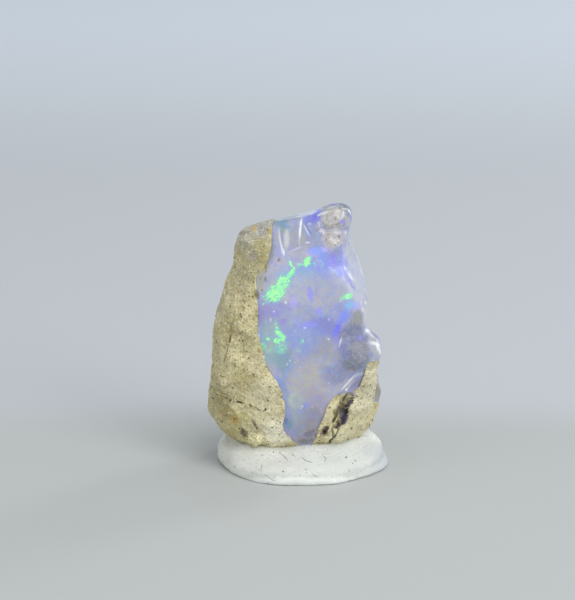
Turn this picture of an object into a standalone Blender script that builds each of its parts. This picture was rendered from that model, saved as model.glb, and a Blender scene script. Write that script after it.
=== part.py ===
"""Rough precious opal in its host rock, stood upright on a pressed disc of white mounting putty.

The stone is a tapered slab, 15.5 mm tall. A tooth of clear opal fills it from the broad glassy front
face to the right edge and the top. A tan volcanic rock cradles that tooth on the left, behind and at the
lower right. X runs to the right of the front face, +Y into the stone and +Z up. The origin is the centre of
the putty's flat underside.
"""

import math

import bmesh
import bpy
from mathutils import Vector, noise

MM = 0.001

# Every length below is in millimetres.

# The putty disc
PUTTY_HALF_WIDTH = 5.35
PUTTY_HALF_DEPTH = 5.45
PUTTY_TOP = 1.5
PUTTY_BULGE_HEIGHT = 0.45
PUTTY_CUTS = 12
PUTTY_PLAN_POWER = 2.1
PUTTY_EDGE_POWER = 4.5
PUTTY_DENT_SIZE = 3.0
PUTTY_DENT = 0.16
# Where the putty's foot is smeared outwards: direction and half spread in degrees, reach, height
SMEAR = (-12.0, 32.0, 0.45, 0.5)

# The stone's block: its grid, its roundness in plan and from bottom to top, and its height
STONE_CUTS = 18
PLAN_POWER = 2.7
UPRIGHT_POWER = 10.0
STONE_BOTTOM = 1.8
STONE_TOP = 16.35
TOP_SLOPE = 0.21

# Outlines of the block, as (height, place) stops
LEFT_EDGE = (
    (1.8, -5.0), (2.6, -5.5), (3.3, -5.8), (4.0, -5.88), (6.5, -5.72), (9.3, -5.55),
    (10.7, -5.3), (12.2, -4.93), (13.8, -4.38), (14.7, -4.18), (15.3, -4.16), (16.35, -4.25),
)
RIGHT_EDGE = (
    (1.8, 4.35), (3.2, 4.85), (4.5, 5.2), (5.2, 5.05), (5.9, 4.8), (6.6, 4.8), (7.4, 4.45),
    (8.1, 4.3), (8.7, 4.25), (9.3, 4.27), (10.6, 4.27), (11.4, 4.2), (11.9, 4.1), (12.8, 3.83),
    (13.7, 3.5), (14.4, 3.22), (14.9, 3.1), (15.8, 3.4), (16.35, 3.62),
)
FRONT_FACE = (
    (1.8, -2.95), (3.2, -3.35), (5.0, -3.5), (7.0, -3.4), (9.0, -3.1), (11.0, -2.65),
    (13.0, -2.15), (15.0, -1.65), (16.35, -1.25),
)
BACK_FACE = (
    (1.8, 3.3), (3.4, 3.8), (5.0, 3.9), (7.0, 3.75), (9.0, 3.3), (11.0, 2.7),
    (13.0, 2.05), (15.0, 1.3), (16.35, 0.75),
)

# Relief of the front face, as (x, z, half width, half height, how far it stands out)
KNOB = (4.0, 7.5, 1.2, 1.2, 0.5)
# The knob also reaches to the right, in the front half of the stone: (height, half height, reach)
KNOB_SIDE = (7.9, 0.85, 0.87)
TOP_LUMP = (2.25, 16.35, 0.95, 0.75, 0.4)
LOWER_LUMP = (2.15, 14.75, 0.85, 0.6, 0.28)
SCOOP = (-0.55, 14.9, 1.25, 1.15, -0.35)
CREST = (2.3, 16.9, 1.15, 0.36)

# The right-hand facet: a crease at these (height, x) stops, past which the front turns away
CREASE = ((8.6, 4.3), (10.3, 3.95), (12.2, 3.4), (13.1, 2.86), (13.7, 2.6), (15.6, 2.6))
CREASE_TURN = 1.1
CREASE_SPAN = (9.0, 15.8)

# The lower right turns away towards the back
TURN_START = 1.2
TURN_RATE = 0.14
TURN_HEIGHT = 6.5

# Weathered surface: broad lumps on all of the stone, and ridges and pits on the rock alone
LUMP_SIZE = 3.4
LUMP_HEIGHT = 0.22
RIDGE_SIZE = 1.35
RIDGE_HEIGHT = 0.2
# The ridges fade out between these heights, towards the smooth top
RIDGE_FADE = (14.0, 16.0)
ROCK_PROUD = 0.05
NOISE_AT = Vector((3.1, 7.7, 1.9))

# The open crack in the rock at the lower right: its two ends as (x, z), half width and depth
CRACK_TOP = (3.2, 5.0)
CRACK_FOOT = (1.6, 2.8)
CRACK_HALF_WIDTH = 0.42
CRACK_DEPTH = 0.9

# The tooth of opal: its left side, right side and back, as (height, place) stops
SEAM_LEFT = (
    (1.2, -0.25), (1.95, -0.3), (2.6, -0.8), (3.3, -1.15), (4.1, -1.05), (4.8, -1.05), (5.7, -1.3),
    (6.8, -1.8), (7.8, -2.35), (8.9, -2.65), (10.2, -2.8), (12.0, -2.88), (12.9, -2.95), (13.25, -2.6),
    (13.5, -2.35), (14.0, -2.2), (14.7, -2.0), (15.5, -1.9), (16.4, -1.85), (18.5, -1.8),
)
SEAM_RIGHT = (
    (1.2, 0.6), (1.85, 0.75), (2.4, 1.1), (3.0, 1.15), (3.8, 1.4), (4.75, 1.95), (4.95, 2.5),
    (5.02, 3.1), (5.15, 3.5), (5.46, 3.85), (6.0, 4.0), (6.75, 4.15), (7.05, 4.3), (7.2, 5.4),
    (7.35, 6.8), (8.5, 8.5), (18.5, 8.5),
)
SEAM_BACK = (
    (1.2, -1.5), (1.8, -1.4), (3.0, -1.0), (4.1, -0.5), (5.7, 0.4), (7.0, 1.2), (8.0, 2.0), (9.0, 2.4),
    (10.5, 2.3), (12.0, 3.2), (14.0, 3.6), (18.5, 3.6),
)
SEAM_FRONT = -7.5
SEAM_ROWS = 32
SEAM_POINTS = 20
SEAM_POWER = 3.5
# On the right the seam leans, lower towards the back: its slope, the depth where it is level, its limits
SEAM_LEAN = (0.33, -1.5, -3.2, 1.2)
SEAM_HEIGHTS = (1.2, 18.5)
# A clear lobe of the same opal that shows at the right edge, behind the rock
LOBE_CENTRE = (4.7, 0.52, 5.6)
LOBE_HALF = (1.5, 1.35, 2.0)
JOINT_GAP = 0.3

PUTTY_WHITE = (0.80, 0.81, 0.77)
ROCK_TAN = (0.58, 0.48, 0.27)
OPAL_BLUE = (0.40, 0.44, 0.80)


def smooth_between(stops, at):
    """The value at a height, on a smooth curve through (height, value) stops."""
    if at <= stops[0][0]:
        return stops[0][1]
    if at >= stops[-1][0]:
        return stops[-1][1]
    last = len(stops) - 1
    i = next(k for k in range(last) if at <= stops[k + 1][0])

    def slope(k):
        low, high = stops[max(k - 1, 0)], stops[min(k + 1, last)]
        return (high[1] - low[1]) / (high[0] - low[0])

    span = stops[i + 1][0] - stops[i][0]
    t = (at - stops[i][0]) / span
    return (
        (2 * t**3 - 3 * t**2 + 1) * stops[i][1]
        + (t**3 - 2 * t**2 + t) * span * slope(i)
        + (3 * t**2 - 2 * t**3) * stops[i + 1][1]
        + (t**3 - t**2) * span * slope(i + 1)
    )


def ease(low, high, at):
    """0 below low, 1 above high, and a smooth step between."""
    t = min(max((at - low) / (high - low), 0.0), 1.0)
    return t * t * (3 - 2 * t)


def signed_power(value, power):
    return math.copysign(abs(value) ** power, value)


def rounded_block(cuts, plan_power, upright_power):
    """A cube from -1 to 1 with gridded faces, drawn in to a rounded block."""
    shape = bmesh.new()
    bmesh.ops.create_cube(shape, size=2.0)
    bmesh.ops.subdivide_edges(shape, edges=shape.edges[:], cuts=cuts, use_grid_fill=True)
    for vertex in shape.verts:
        x, y, z = (abs(part) for part in vertex.co)
        plan = (x**plan_power + y**plan_power) ** (1 / plan_power)
        vertex.co /= (plan**upright_power + z**upright_power) ** (1 / upright_power)
    return shape


def hill(x, z, bump):
    """Height of a round bump on the front face, seen from the front."""
    centre_x, centre_z, half_width, half_height, height = bump
    away = ((x - centre_x) / half_width) ** 2 + ((z - centre_z) / half_height) ** 2
    return height * math.exp(-away)


def crack_distance(x, z):
    """How far a point of the front face is from the crack's middle line."""
    top, foot = Vector(CRACK_TOP), Vector(CRACK_FOOT)
    along = foot - top
    share = min(max((Vector((x, z)) - top).dot(along) / along.length_squared, 0.0), 1.0)
    return (Vector((x, z)) - top - share * along).length


def front_relief(x, z, is_rock):
    """How far the front face moves towards the viewer at (x, z)."""
    out = sum(hill(x, z, bump) for bump in (KNOB, TOP_LUMP, LOWER_LUMP, SCOOP))
    beside = max(x - smooth_between(CREASE, z), 0.0)
    low, high = CREASE_SPAN
    out -= CREASE_TURN * beside * ease(low - 1, low, z) * (1 - ease(high - 1, high, z))
    out -= TURN_RATE * max(x - TURN_START, 0.0) ** 2 * (1 - ease(TURN_HEIGHT - 2, TURN_HEIGHT, z))
    if is_rock:
        out -= CRACK_DEPTH * math.exp(-((crack_distance(x, z) / CRACK_HALF_WIDTH) ** 2))
    return out


def knob_reach(across, deep, level):
    """How far the knob moves a point of the block to the right. across and deep run from -1 to 1."""
    height, half_height, reach = KNOB_SIDE
    beside = reach * math.exp(-(((level - height) / half_height) ** 4))
    return beside * ease(0.3, 1.0, across) * ease(-0.45, 0.15, -deep)


def stone_block(is_rock):
    """The whole stone as one closed block, with the rock's or the opal's surface."""
    shape = rounded_block(STONE_CUTS, PLAN_POWER, UPRIGHT_POWER)
    for vertex in shape.verts:
        across, deep, up = vertex.co
        share = (up + 1) / 2
        level = STONE_BOTTOM + share * (STONE_TOP - STONE_BOTTOM)
        left, right = smooth_between(LEFT_EDGE, level), smooth_between(RIGHT_EDGE, level)
        front, back = smooth_between(FRONT_FACE, level), smooth_between(BACK_FACE, level)
        x = (left + right) / 2 + across * (right - left) / 2 + knob_reach(across, deep, level)
        y = (front + back) / 2 + deep * (back - front) / 2
        z = level + TOP_SLOPE * share**3 * x
        y -= front_relief(x, z, is_rock) * ease(0.0, 0.8, -deep)
        crest_x, crest_z, crest_width, crest_height = CREST
        z += crest_height * math.exp(-(((x - crest_x) / crest_width) ** 2)) * ease(crest_z - 2, crest_z, z)
        vertex.co = (x, y, z)
    shape.normal_update()
    moves = []
    for vertex in shape.verts:
        amount = LUMP_HEIGHT * noise.noise(vertex.co / LUMP_SIZE + NOISE_AT)
        if is_rock:
            kept = 1 - 0.8 * ease(*RIDGE_FADE, vertex.co.z)
            amount += ROCK_PROUD + kept * RIDGE_HEIGHT * noise.noise(vertex.co / RIDGE_SIZE + NOISE_AT)
        moves.append(vertex.normal * amount)
    for vertex, move in zip(shape.verts, moves):
        vertex.co += move
        vertex.co.z = max(vertex.co.z, STONE_BOTTOM)
    return shape


def seam_block(grow):
    """The tooth of opal as a loft of rounded sections, open to the front and the right of the stone."""
    shape = bmesh.new()
    low, high = SEAM_HEIGHTS
    slope, level, near, far = SEAM_LEAN
    rings = []
    for row in range(SEAM_ROWS + 1):
        z = low + (high - low) * row / SEAM_ROWS
        left = smooth_between(SEAM_LEFT, z) - grow
        right = smooth_between(SEAM_RIGHT, z) + grow
        back = smooth_between(SEAM_BACK, z) + grow
        ring = []
        for k in range(SEAM_POINTS):
            turn = 2 * math.pi * k / SEAM_POINTS
            across = signed_power(math.cos(turn), 2 / SEAM_POWER)
            deep = signed_power(math.sin(turn), 2 / SEAM_POWER)
            x = (left + right) / 2 + across * (right - left) / 2
            y = (SEAM_FRONT + back) / 2 + deep * (back - SEAM_FRONT) / 2
            lean = slope * (min(max(y, near), far) - level) * ease(0.0, 3.0, x)
            ring.append(shape.verts.new((x, y, z - lean)))
        rings.append(ring)
    for below, above in zip(rings, rings[1:]):
        for k in range(SEAM_POINTS):
            after = (k + 1) % SEAM_POINTS
            shape.faces.new((below[k], below[after], above[after], above[k]))
    shape.faces.new(rings[0][::-1])
    shape.faces.new(rings[-1])
    return shape


def lobe_block(grow):
    """The lobe that joins the tooth inside the rock and shows at the right edge."""
    shape = bmesh.new()
    bmesh.ops.create_uvsphere(shape, u_segments=16, v_segments=12, radius=1.0)
    for vertex in shape.verts:
        vertex.co = Vector(
            centre + unit * (half + grow) for centre, unit, half in zip(LOBE_CENTRE, vertex.co, LOBE_HALF)
        )
    return shape


def putty_block():
    """A ball of putty pressed flat: a bulging rim, shallow finger dents and a flat underside."""
    shape = rounded_block(PUTTY_CUTS, PUTTY_PLAN_POWER, PUTTY_EDGE_POWER)
    rise = PUTTY_TOP - PUTTY_BULGE_HEIGHT
    for vertex in shape.verts:
        across, deep, up = vertex.co
        dent = 1 + PUTTY_DENT / PUTTY_HALF_WIDTH * noise.noise(
            Vector((across, deep, 0)) * PUTTY_HALF_WIDTH / PUTTY_DENT_SIZE + NOISE_AT
        )
        z = PUTTY_BULGE_HEIGHT + up * rise
        direction, spread, reach, height = SMEAR
        off = (math.degrees(math.atan2(deep, across)) - direction) / spread
        foot = math.hypot(across, deep) ** 4 * (1 - ease(0.0, height, z))
        smear = reach / PUTTY_HALF_WIDTH * math.exp(-off * off) * foot
        vertex.co = (
            across * PUTTY_HALF_WIDTH * (dent + smear),
            deep * PUTTY_HALF_DEPTH * (dent + smear),
            z,
        )
    cut = bmesh.ops.bisect_plane(
        shape,
        geom=shape.verts[:] + shape.edges[:] + shape.faces[:],
        plane_co=(0, 0, 0),
        plane_no=(0, 0, -1),
        clear_outer=True,
    )
    rim = [part for part in cut["geom_cut"] if isinstance(part, bmesh.types.BMEdge)]
    bmesh.ops.holes_fill(shape, edges=rim)
    return shape


def surface_material(name, colour, roughness, transmission=0.0):
    material = bpy.data.materials.new(name)
    material.use_nodes = True
    shader = material.node_tree.nodes["Principled BSDF"]
    shader.inputs["Base Color"].default_value = (*colour, 1.0)
    shader.inputs["Roughness"].default_value = roughness
    shader.inputs["Metallic"].default_value = 0.0
    shader.inputs["Transmission Weight"].default_value = transmission
    shader.inputs["IOR"].default_value = 1.45
    return material


def object_from(shape, name, collection, material=None):
    """A named object in metres from a shape in millimetres."""
    bmesh.ops.scale(shape, vec=(MM, MM, MM), verts=shape.verts)
    bmesh.ops.recalc_face_normals(shape, faces=shape.faces[:])
    mesh = bpy.data.meshes.new(name)
    shape.to_mesh(mesh)
    shape.free()
    thing = bpy.data.objects.new(name, mesh)
    collection.objects.link(thing)
    if material:
        mesh.materials.append(material)
        mesh.shade_smooth()
    else:
        thing.hide_render = True
        thing.display_type = "WIRE"
    return thing


def join_modifier(thing, other, operation):
    modifier = thing.modifiers.new(f"{operation.lower()}_{other.name}", "BOOLEAN")
    modifier.operation = operation
    modifier.object = other
    modifier.solver = "EXACT"
    modifier.use_self = True


def main():
    for thing in list(bpy.data.objects):
        bpy.data.objects.remove(thing, do_unlink=True)
    specimen = bpy.data.collections.new("rough_precious_opal")
    cutters = bpy.data.collections.new("cutters")
    for collection in (specimen, cutters):
        bpy.context.scene.collection.children.link(collection)

    object_from(putty_block(), "putty_disc", specimen, surface_material("white_putty", PUTTY_WHITE, 0.85))

    rock = object_from(
        stone_block(True), "host_rock", specimen, surface_material("tan_rock", ROCK_TAN, 0.9)
    )
    opal = object_from(
        stone_block(False), "precious_opal", specimen, surface_material("opal", OPAL_BLUE, 0.08, 0.6)
    )
    lobe_gap = object_from(lobe_block(JOINT_GAP), "lobe_with_gap", cutters)
    seam_gap = object_from(seam_block(JOINT_GAP), "seam_with_gap", cutters)
    lobe = object_from(lobe_block(0.0), "lobe", cutters)
    seam = object_from(seam_block(0.0), "seam", cutters)

    join_modifier(seam, lobe, "UNION")
    join_modifier(opal, seam, "INTERSECT")
    join_modifier(seam_gap, lobe_gap, "UNION")
    join_modifier(rock, seam_gap, "DIFFERENCE")


main()
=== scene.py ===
"""The looks of a rough precious opal in tan host rock, stood upright on a pressed disc of white putty.

Forms are worked out in millimetres and finished in metres. Features of the front are placed by the
photograph's pixels: a pixel fixes a line of sight, and the form or finish follows it through the stone.
"""

import math

import bmesh
import bpy
import numpy as np
from mathutils import Matrix, Vector, noise
from mathutils.bvhtree import BVHTree


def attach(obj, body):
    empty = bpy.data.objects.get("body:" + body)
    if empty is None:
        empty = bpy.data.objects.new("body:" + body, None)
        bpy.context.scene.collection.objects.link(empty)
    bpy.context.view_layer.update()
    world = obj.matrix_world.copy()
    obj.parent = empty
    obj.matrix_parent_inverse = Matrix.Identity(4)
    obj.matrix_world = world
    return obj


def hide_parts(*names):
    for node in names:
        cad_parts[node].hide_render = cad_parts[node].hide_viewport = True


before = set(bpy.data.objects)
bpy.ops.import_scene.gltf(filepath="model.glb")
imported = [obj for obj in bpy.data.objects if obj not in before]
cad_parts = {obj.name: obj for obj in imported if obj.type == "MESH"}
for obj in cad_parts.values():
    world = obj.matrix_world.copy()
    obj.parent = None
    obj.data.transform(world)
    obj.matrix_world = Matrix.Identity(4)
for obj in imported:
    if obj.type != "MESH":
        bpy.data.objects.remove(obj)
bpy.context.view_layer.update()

MM = 0.001

# The photograph's camera
FOCAL_PIXELS = 4800.0
PICTURE_SIZE = (575, 600)
SENSOR_SIZE = 36.0
CLIP_RANGE = (0.01, 10.0)
CAMERA_AWAY = 311.7 * MM
CAMERA_PITCH = math.radians(16.8)
# The pixel where the middle of the stone's foot shows, and the turn that lays a depth on the picture
FOOT_PIXEL = (301, 459)
PIXELS_PER_MM = 15.4
LOOK_DOWN = math.radians(18.5)

# The stone's block: grid cuts along x, y and z, its roundness, its height in millimetres, and how its top
# slopes and curves
STONE_CUTS = (138, 48, 184)
PLAN_POWER = 2.7
UPRIGHT_POWER = 10.0
STONE_BOTTOM = 1.62
STONE_TOP = 16.35
TOP_SLOPE = 0.21
TOP_CURVE = 3

# Outlines of the block, as (height, place) stops
LEFT_EDGE = (
    (1.8, -5.0), (2.6, -5.5), (3.3, -5.8), (4.0, -5.88), (6.5, -5.72), (9.3, -5.55),
    (10.7, -5.3), (12.2, -4.93), (13.8, -4.38), (14.7, -4.18), (15.3, -4.16), (16.35, -4.25),
)
RIGHT_EDGE = (
    (1.8, 4.35), (3.2, 4.85), (4.5, 5.2), (5.2, 5.05), (5.9, 4.8), (6.6, 4.8), (7.4, 4.45),
    (8.1, 4.3), (8.7, 4.25), (9.3, 4.27), (10.6, 4.27), (11.4, 4.2), (11.9, 4.1), (12.8, 3.83),
    (13.7, 3.5), (14.4, 3.22), (14.9, 3.1), (15.8, 3.4), (16.35, 3.62),
)
FRONT_FACE = (
    (1.8, -2.95), (3.2, -3.35), (5.0, -3.5), (7.0, -3.4), (9.0, -3.1), (11.0, -2.65),
    (13.0, -2.15), (15.0, -1.65), (16.35, -1.25),
)
BACK_FACE = (
    (1.8, 3.3), (3.4, 3.8), (5.0, 3.9), (7.0, 3.75), (9.0, 3.3), (11.0, 2.7),
    (13.0, 2.05), (15.0, 1.3), (16.35, 0.75),
)

# Relief of the front face, as (x, z, half width, half height, how far it stands out)
KNOB = (4.0, 7.5, 1.2, 1.2, 0.5)
# The knob also reaches to the right, in the front half of the stone: (height, half height, reach), and
# where that starts and ends, across the block and from back to front
KNOB_SIDE = (7.9, 0.85, 0.87)
KNOB_SIDE_ACROSS = (0.3, 1.0)
KNOB_SIDE_FORWARD = (-0.45, 0.15)
TOP_LUMP = (2.25, 16.35, 0.95, 0.75, 0.4)
LOWER_LUMP = (2.15, 14.75, 0.85, 0.6, 0.28)
SCOOP = (-0.55, 14.9, 1.25, 1.15, -0.35)
# Where that relief comes in, between the middle of the block's depth, 0, and its front, 1
FRONT_FADE = (0.0, 0.8)
# The crest on the top edge, as (x, z, half width, height), and how far below it the rise starts
CREST = (2.3, 16.9, 1.15, 0.36)
CREST_FADE = 2
# The crease where the front turns to the right side, as (height, place) stops, how steeply the side falls
# back from it, and the heights between which it does
CREASE = ((8.6, 4.3), (10.3, 3.95), (12.2, 3.4), (13.1, 2.86), (13.7, 2.6), (15.6, 2.6))
CREASE_TURN = 1.1
CREASE_SPAN = (9.0, 15.8)
CREASE_FADE = 1
# The gentler turn of the lower front
TURN_START = 1.2
TURN_RATE = 0.14
TURN_HEIGHT = 6.5
TURN_FADE = 2
# Where the noise is read, and (size, height) of each layer of lumps: of the whole stone, of the rock's ridges
# and of its finer roughness
NOISE_AT = Vector((3.1, 7.7, 1.9))
STONE_LAYERS = ((3.4, 0.22),)
RIDGE_LAYERS = ((1.35, 0.2),)
ROCK_LAYERS = ((0.75, 0.10), (0.38, 0.06), (0.2, 0.035))
# Most of the rock's roughness fades out between these heights, towards the smooth top
RIDGE_FADE = (14.0, 16.0)
RIDGE_LOSS = 0.8
ROCK_PROUD = 0.05
# Long soft swells of the opal's broken face
OPAL_LAYERS = ((2.2, 0.07), (0.9, 0.018))

# Chips, ribs and ledges of the opal's front: (pixel, half sizes in pixels, turn in degrees, height in mm)
OPAL_RELIEF = (
    ((286.5, 242.5), (2.6, 10), 0, 0.07),
    ((281, 243), (1.2, 9), 9, -0.05),
    ((300.4, 233), (1.6, 9), -4, -0.12),
    ((307.5, 234.5), (1.4, 6.5), 28, -0.06),
    ((311, 233.5), (1.4, 6), 28, 0.05),
    ((333, 233.8), (14, 1.8), 8, -0.15),
    ((334, 218), (12, 12), 0, 0.14),
    ((333, 246), (11, 9), 0, 0.14),
    ((346.2, 386), (1.3, 9.5), -42, 0.09),
    ((350.8, 385.4), (1.3, 7), -42, 0.09),
    ((351.5, 389.5), (3, 5), -42, -0.06),
)
# The lumps at the top right are gnarled: (pixel, half sizes in pixels) and layers of noise
GNARLED = (((333, 226), (15, 26)), ((0.55, 0.13), (0.26, 0.07)))
# The step above the flashes: the pixels of its ends, its depth, how far it fades upwards, the width of its
# edge, and where it starts and stops beside its ends
STEP_LINE = ((285, 256.5), (313, 245))
STEP_DEPTH = 0.13
STEP_FADE = 0.9
STEP_EDGE = 0.03
STEP_START = (-0.3, 0.2)
STEP_STOP = (-0.2, 0.4)

# Hollows of the rock, as in OPAL_RELIEF: the open crack at the lower right first
ROCK_RELIEF = (
    ((348, 399), (3.2, 5), -30, -0.55),
    ((342.5, 412), (4.6, 9), -12, -0.95),
    ((337.5, 427), (2.6, 6), -35, -0.7),
    ((334, 417), (1.4, 7), -22, -0.35),
    ((323.5, 431), (3.6, 5.5), -38, -0.55),
    ((331.5, 438), (1.1, 8), -25, -0.35),
    ((244.5, 434), (2.6, 4.5), 30, -0.3),
    ((254.5, 424), (1.4, 4.5), 35, -0.18),
    ((256, 439.5), (6.5, 5), 0, 0.36),
    ((240, 251), (9, 5), 20, -0.15),
    ((231, 330), (1.6, 16), -18, -0.12),
    ((222, 392), (1.6, 10), 60, -0.12),
)
# The rims of those hollows wander by this, and all such relief comes in as the surface turns to the front
RAGGED_LAYERS = ((0.5, 0.16), (0.24, 0.12))
FACING_FRONT = (0.05, 0.45)

# The tooth of opal: its left side, right side and back, as (height, place) stops
SEAM_LEFT = (
    (1.2, -0.25), (1.95, -0.3), (2.6, -0.8), (3.3, -1.15), (4.1, -1.05), (4.8, -1.05), (5.7, -1.3),
    (6.8, -1.8), (7.8, -2.35), (8.9, -2.65), (10.2, -2.8), (12.0, -2.88), (12.9, -2.95), (13.25, -2.6),
    (13.5, -2.35), (14.0, -2.2), (14.7, -2.0), (15.5, -1.9), (16.4, -1.85), (18.5, -1.8),
)
SEAM_RIGHT = (
    (1.2, 0.6), (1.85, 0.75), (2.4, 1.1), (3.0, 1.15), (3.8, 1.4), (4.75, 1.95), (4.95, 2.5),
    (5.02, 3.1), (5.15, 3.5), (5.46, 3.85), (6.0, 4.0), (6.75, 4.15), (7.05, 4.3), (7.2, 5.4), (7.35, 6.8),
    (8.5, 8.5), (18.5, 8.5),
)
SEAM_BACK = (
    (1.2, -1.5), (1.8, -1.4), (3.0, -1.0), (4.1, -0.5), (5.7, 0.4), (7.0, 1.2), (8.0, 2.0), (9.0, 2.4),
    (10.5, 2.3), (12.0, 3.2), (14.0, 3.6), (18.5, 3.6),
)
SEAM_FRONT = -7.5
SEAM_ROWS = 150
SEAM_POINTS = 120
SEAM_POWER = 3.5
# On the right the seam leans, lower towards the back: its slope, the depth where it is true, the depths
# between which it leans, and how far right the lean is whole
SEAM_LEAN = (0.33, -1.5, -3.2, 1.2)
SEAM_LEAN_WHOLE = 3.0
SEAM_HEIGHTS = (1.2, 18.5)
SEAM_LAYERS = ((1.5, 0.14), (0.6, 0.08), (0.28, 0.04))
# The lobe of opal at the right edge
LOBE_CENTRE = (4.7, 0.52, 5.6)
LOBE_HALF = (1.5, 1.35, 2.0)
# The rock reaches this far into the opal, so that they meet with no film of air
SEAM_BITE = 0.05

# The putty disc
PUTTY_CUTS = (84, 84, 22)
PUTTY_HALF_WIDTH = 5.35
PUTTY_HALF_DEPTH = 5.45
PUTTY_TOP = 1.5
PUTTY_BULGE_HEIGHT = 0.45
PUTTY_PLAN_POWER = 2.1
PUTTY_EDGE_POWER = 2.9
PUTTY_DENT_SIZE = 3.0
PUTTY_DENT = 0.16
PUTTY_LAYERS = ((1.6, 0.06), (0.7, 0.035), (0.3, 0.018))
# The putty is smeared along the ground: (direction and spread in degrees, reach, height), and how sharply it
# comes in towards the rim
SMEAR = (-12.0, 32.0, 0.45, 0.5)
SMEAR_POWER = 4
# The putty rises under the stone's foot
FOOT_CENTRE = (-0.35, 0.2)
FOOT_HALF = (4.9, 3.3)
FOOT_RISE = 0.42
FOOT_SLOPE = (0.75, 1.45)
FOOT_LEVELS = (0.5, 1.1)

# Dust hairs on the putty, each a run of pixels, and dark specks, each a pixel and a radius in millimetres
HAIRS = (
    ((255.9, 466.7), (260.8, 470.3), (265.6, 475.2), (271.7, 479.4), (275.3, 481.2)),
    ((261.8, 464), (261.6, 467), (260.8, 470.3)),
    ((279, 452), (285.6, 457.6), (288, 461.2)),
    ((291.7, 452.7), (292.6, 455), (295.3, 456.6)),
    ((301.3, 457), (305.5, 460.5), (312, 462.7)),
    ((323.6, 456), (326, 459), (324.6, 462)),
    ((311.5, 472.5), (314, 475.5), (318, 476.5)),
    ((372.2, 430.4), (374, 431.6), (375.9, 433.4)),
)
SPECKS = (
    ((234.7, 466.4), 0.06), ((229.2, 468.8), 0.05), ((243.5, 468.2), 0.045), ((283.2, 471.5), 0.07),
    ((273.5, 452.4), 0.055), ((222.9, 452.7), 0.045), ((222.6, 461.8), 0.05), ((346.2, 457.3), 0.08),
    ((355.5, 460.8), 0.07), ((352.9, 463.4), 0.05), ((349.4, 471), 0.05), ((372, 430), 0.1),
    ((305.7, 469.4), 0.05), ((300, 475.5), 0.04), ((262, 455), 0.04), ((318, 453), 0.035),
)
# A hair's radius in millimetres, how many sides it has, its steps between two pixels and the share of its
# radius that is left at its tips, and the shares of its radius that a speck reaches each way
HAIR_RADIUS = 0.015
HAIR_SIDES = 6
HAIR_STEPS = 6
HAIR_TIP = 0.35
SPECK_SHAPE = (1.0, 0.8, 0.5)

# Blunt mineral grains on the rock: how many on a square millimetre, smallest and largest radius, the shares
# of it that they reach each way, how far they may be turned, and the seeds of the random draws
GRAIN_DENSITY = 0.7
GRAIN_RADII = (0.03, 0.075)
GRAIN_SHAPE = (1.0, 0.75, 0.6)
GRAIN_TURN = (6.28, 6.28, 6.28)
GRAIN_SEED = 11
GRAIN_TURN_SEED = 5

# Edges sharper than these stay crisp
OPAL_CRISP = math.radians(38)
ROCK_CRISP = math.radians(50)

# The studio, in metres: a floor that bends up into a backdrop, soft boxes as (name, place, size, watts), and
# the even light all round
FLOOR_DROP = 0.00002
FLOOR_FRONT = -0.6
FLOOR_REACH = 0.45
FLOOR_HALF_WIDTH = 0.9
FLOOR_BEND = 0.12
FLOOR_BEND_STEPS = 12
BACKDROP_HEIGHT = 0.9
LIGHTS_AIM = (0, 0, 0.009)
LIGHTS = (
    ("key_softbox", (0.07, -0.12, 0.27), (0.16, 0.16), 0.3),
    ("front_softbox", (0.2, -0.2, 0.15), (0.15, 0.15), 0.3),
    ("rim_softbox", (0.2, 0.18, 0.11), (0.06, 0.22), 0.2),
    ("left_softbox", (-0.25, -0.12, 0.1), (0.2, 0.2), 0.12),
)
TENT_COLOUR = (0.97, 0.99, 1.0, 1.0)
TENT_STRENGTH = 0.66


def smooth_between(stops, at):
    """Values at many heights, on a smooth curve through (height, value) stops."""
    heights, values = np.array(stops, float).T
    slopes = np.empty_like(values)
    slopes[1:-1] = (values[2:] - values[:-2]) / (heights[2:] - heights[:-2])
    slopes[0] = (values[1] - values[0]) / (heights[1] - heights[0])
    slopes[-1] = (values[-1] - values[-2]) / (heights[-1] - heights[-2])
    at = np.clip(at, heights[0], heights[-1])
    i = np.clip(np.searchsorted(heights, at, side="right") - 1, 0, len(heights) - 2)
    span = heights[i + 1] - heights[i]
    t = (at - heights[i]) / span
    return (
        (2 * t**3 - 3 * t**2 + 1) * values[i]
        + (t**3 - 2 * t**2 + t) * span * slopes[i]
        + (3 * t**2 - 2 * t**3) * values[i + 1]
        + (t**3 - t**2) * span * slopes[i + 1]
    )


def ease(low, high, at):
    """0 below low, 1 above high, and a smooth step between."""
    t = np.clip((at - low) / (high - low), 0.0, 1.0)
    return t * t * (3 - 2 * t)


def on_picture(u, v):
    """A pixel of the photograph as millimetres across and up, from the foot's pixel."""
    return (u - FOOT_PIXEL[0]) / PIXELS_PER_MM, (FOOT_PIXEL[1] - v) / PIXELS_PER_MM


def seen_height(points):
    """How far up the photograph each point shows, in millimetres from the foot's pixel."""
    return points[:, 2] * math.cos(LOOK_DOWN) + points[:, 1] * math.sin(LOOK_DOWN)


def gridded_cube(cuts):
    """A cube from -1 to 1 with its own number of cuts along x, y and z."""
    shape = bmesh.new()
    side = 2.0
    bmesh.ops.create_cube(shape, size=side)
    for axis in range(3):
        along = [e for e in shape.edges if abs((e.verts[0].co - e.verts[1].co)[axis]) > 0.95 * side]
        bmesh.ops.subdivide_edges(shape, edges=along, cuts=cuts[axis], use_grid_fill=True)
    return shape


def places(shape):
    """The places of a shape's points, as rows."""
    return np.array([vertex.co for vertex in shape.verts])


def set_places(shape, points):
    """Move a shape's points."""
    for vertex, point in zip(shape.verts, points):
        vertex.co = point
    shape.normal_update()


def directions(shape):
    """The outward directions at a shape's points, as rows."""
    return np.array([vertex.normal for vertex in shape.verts])


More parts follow.
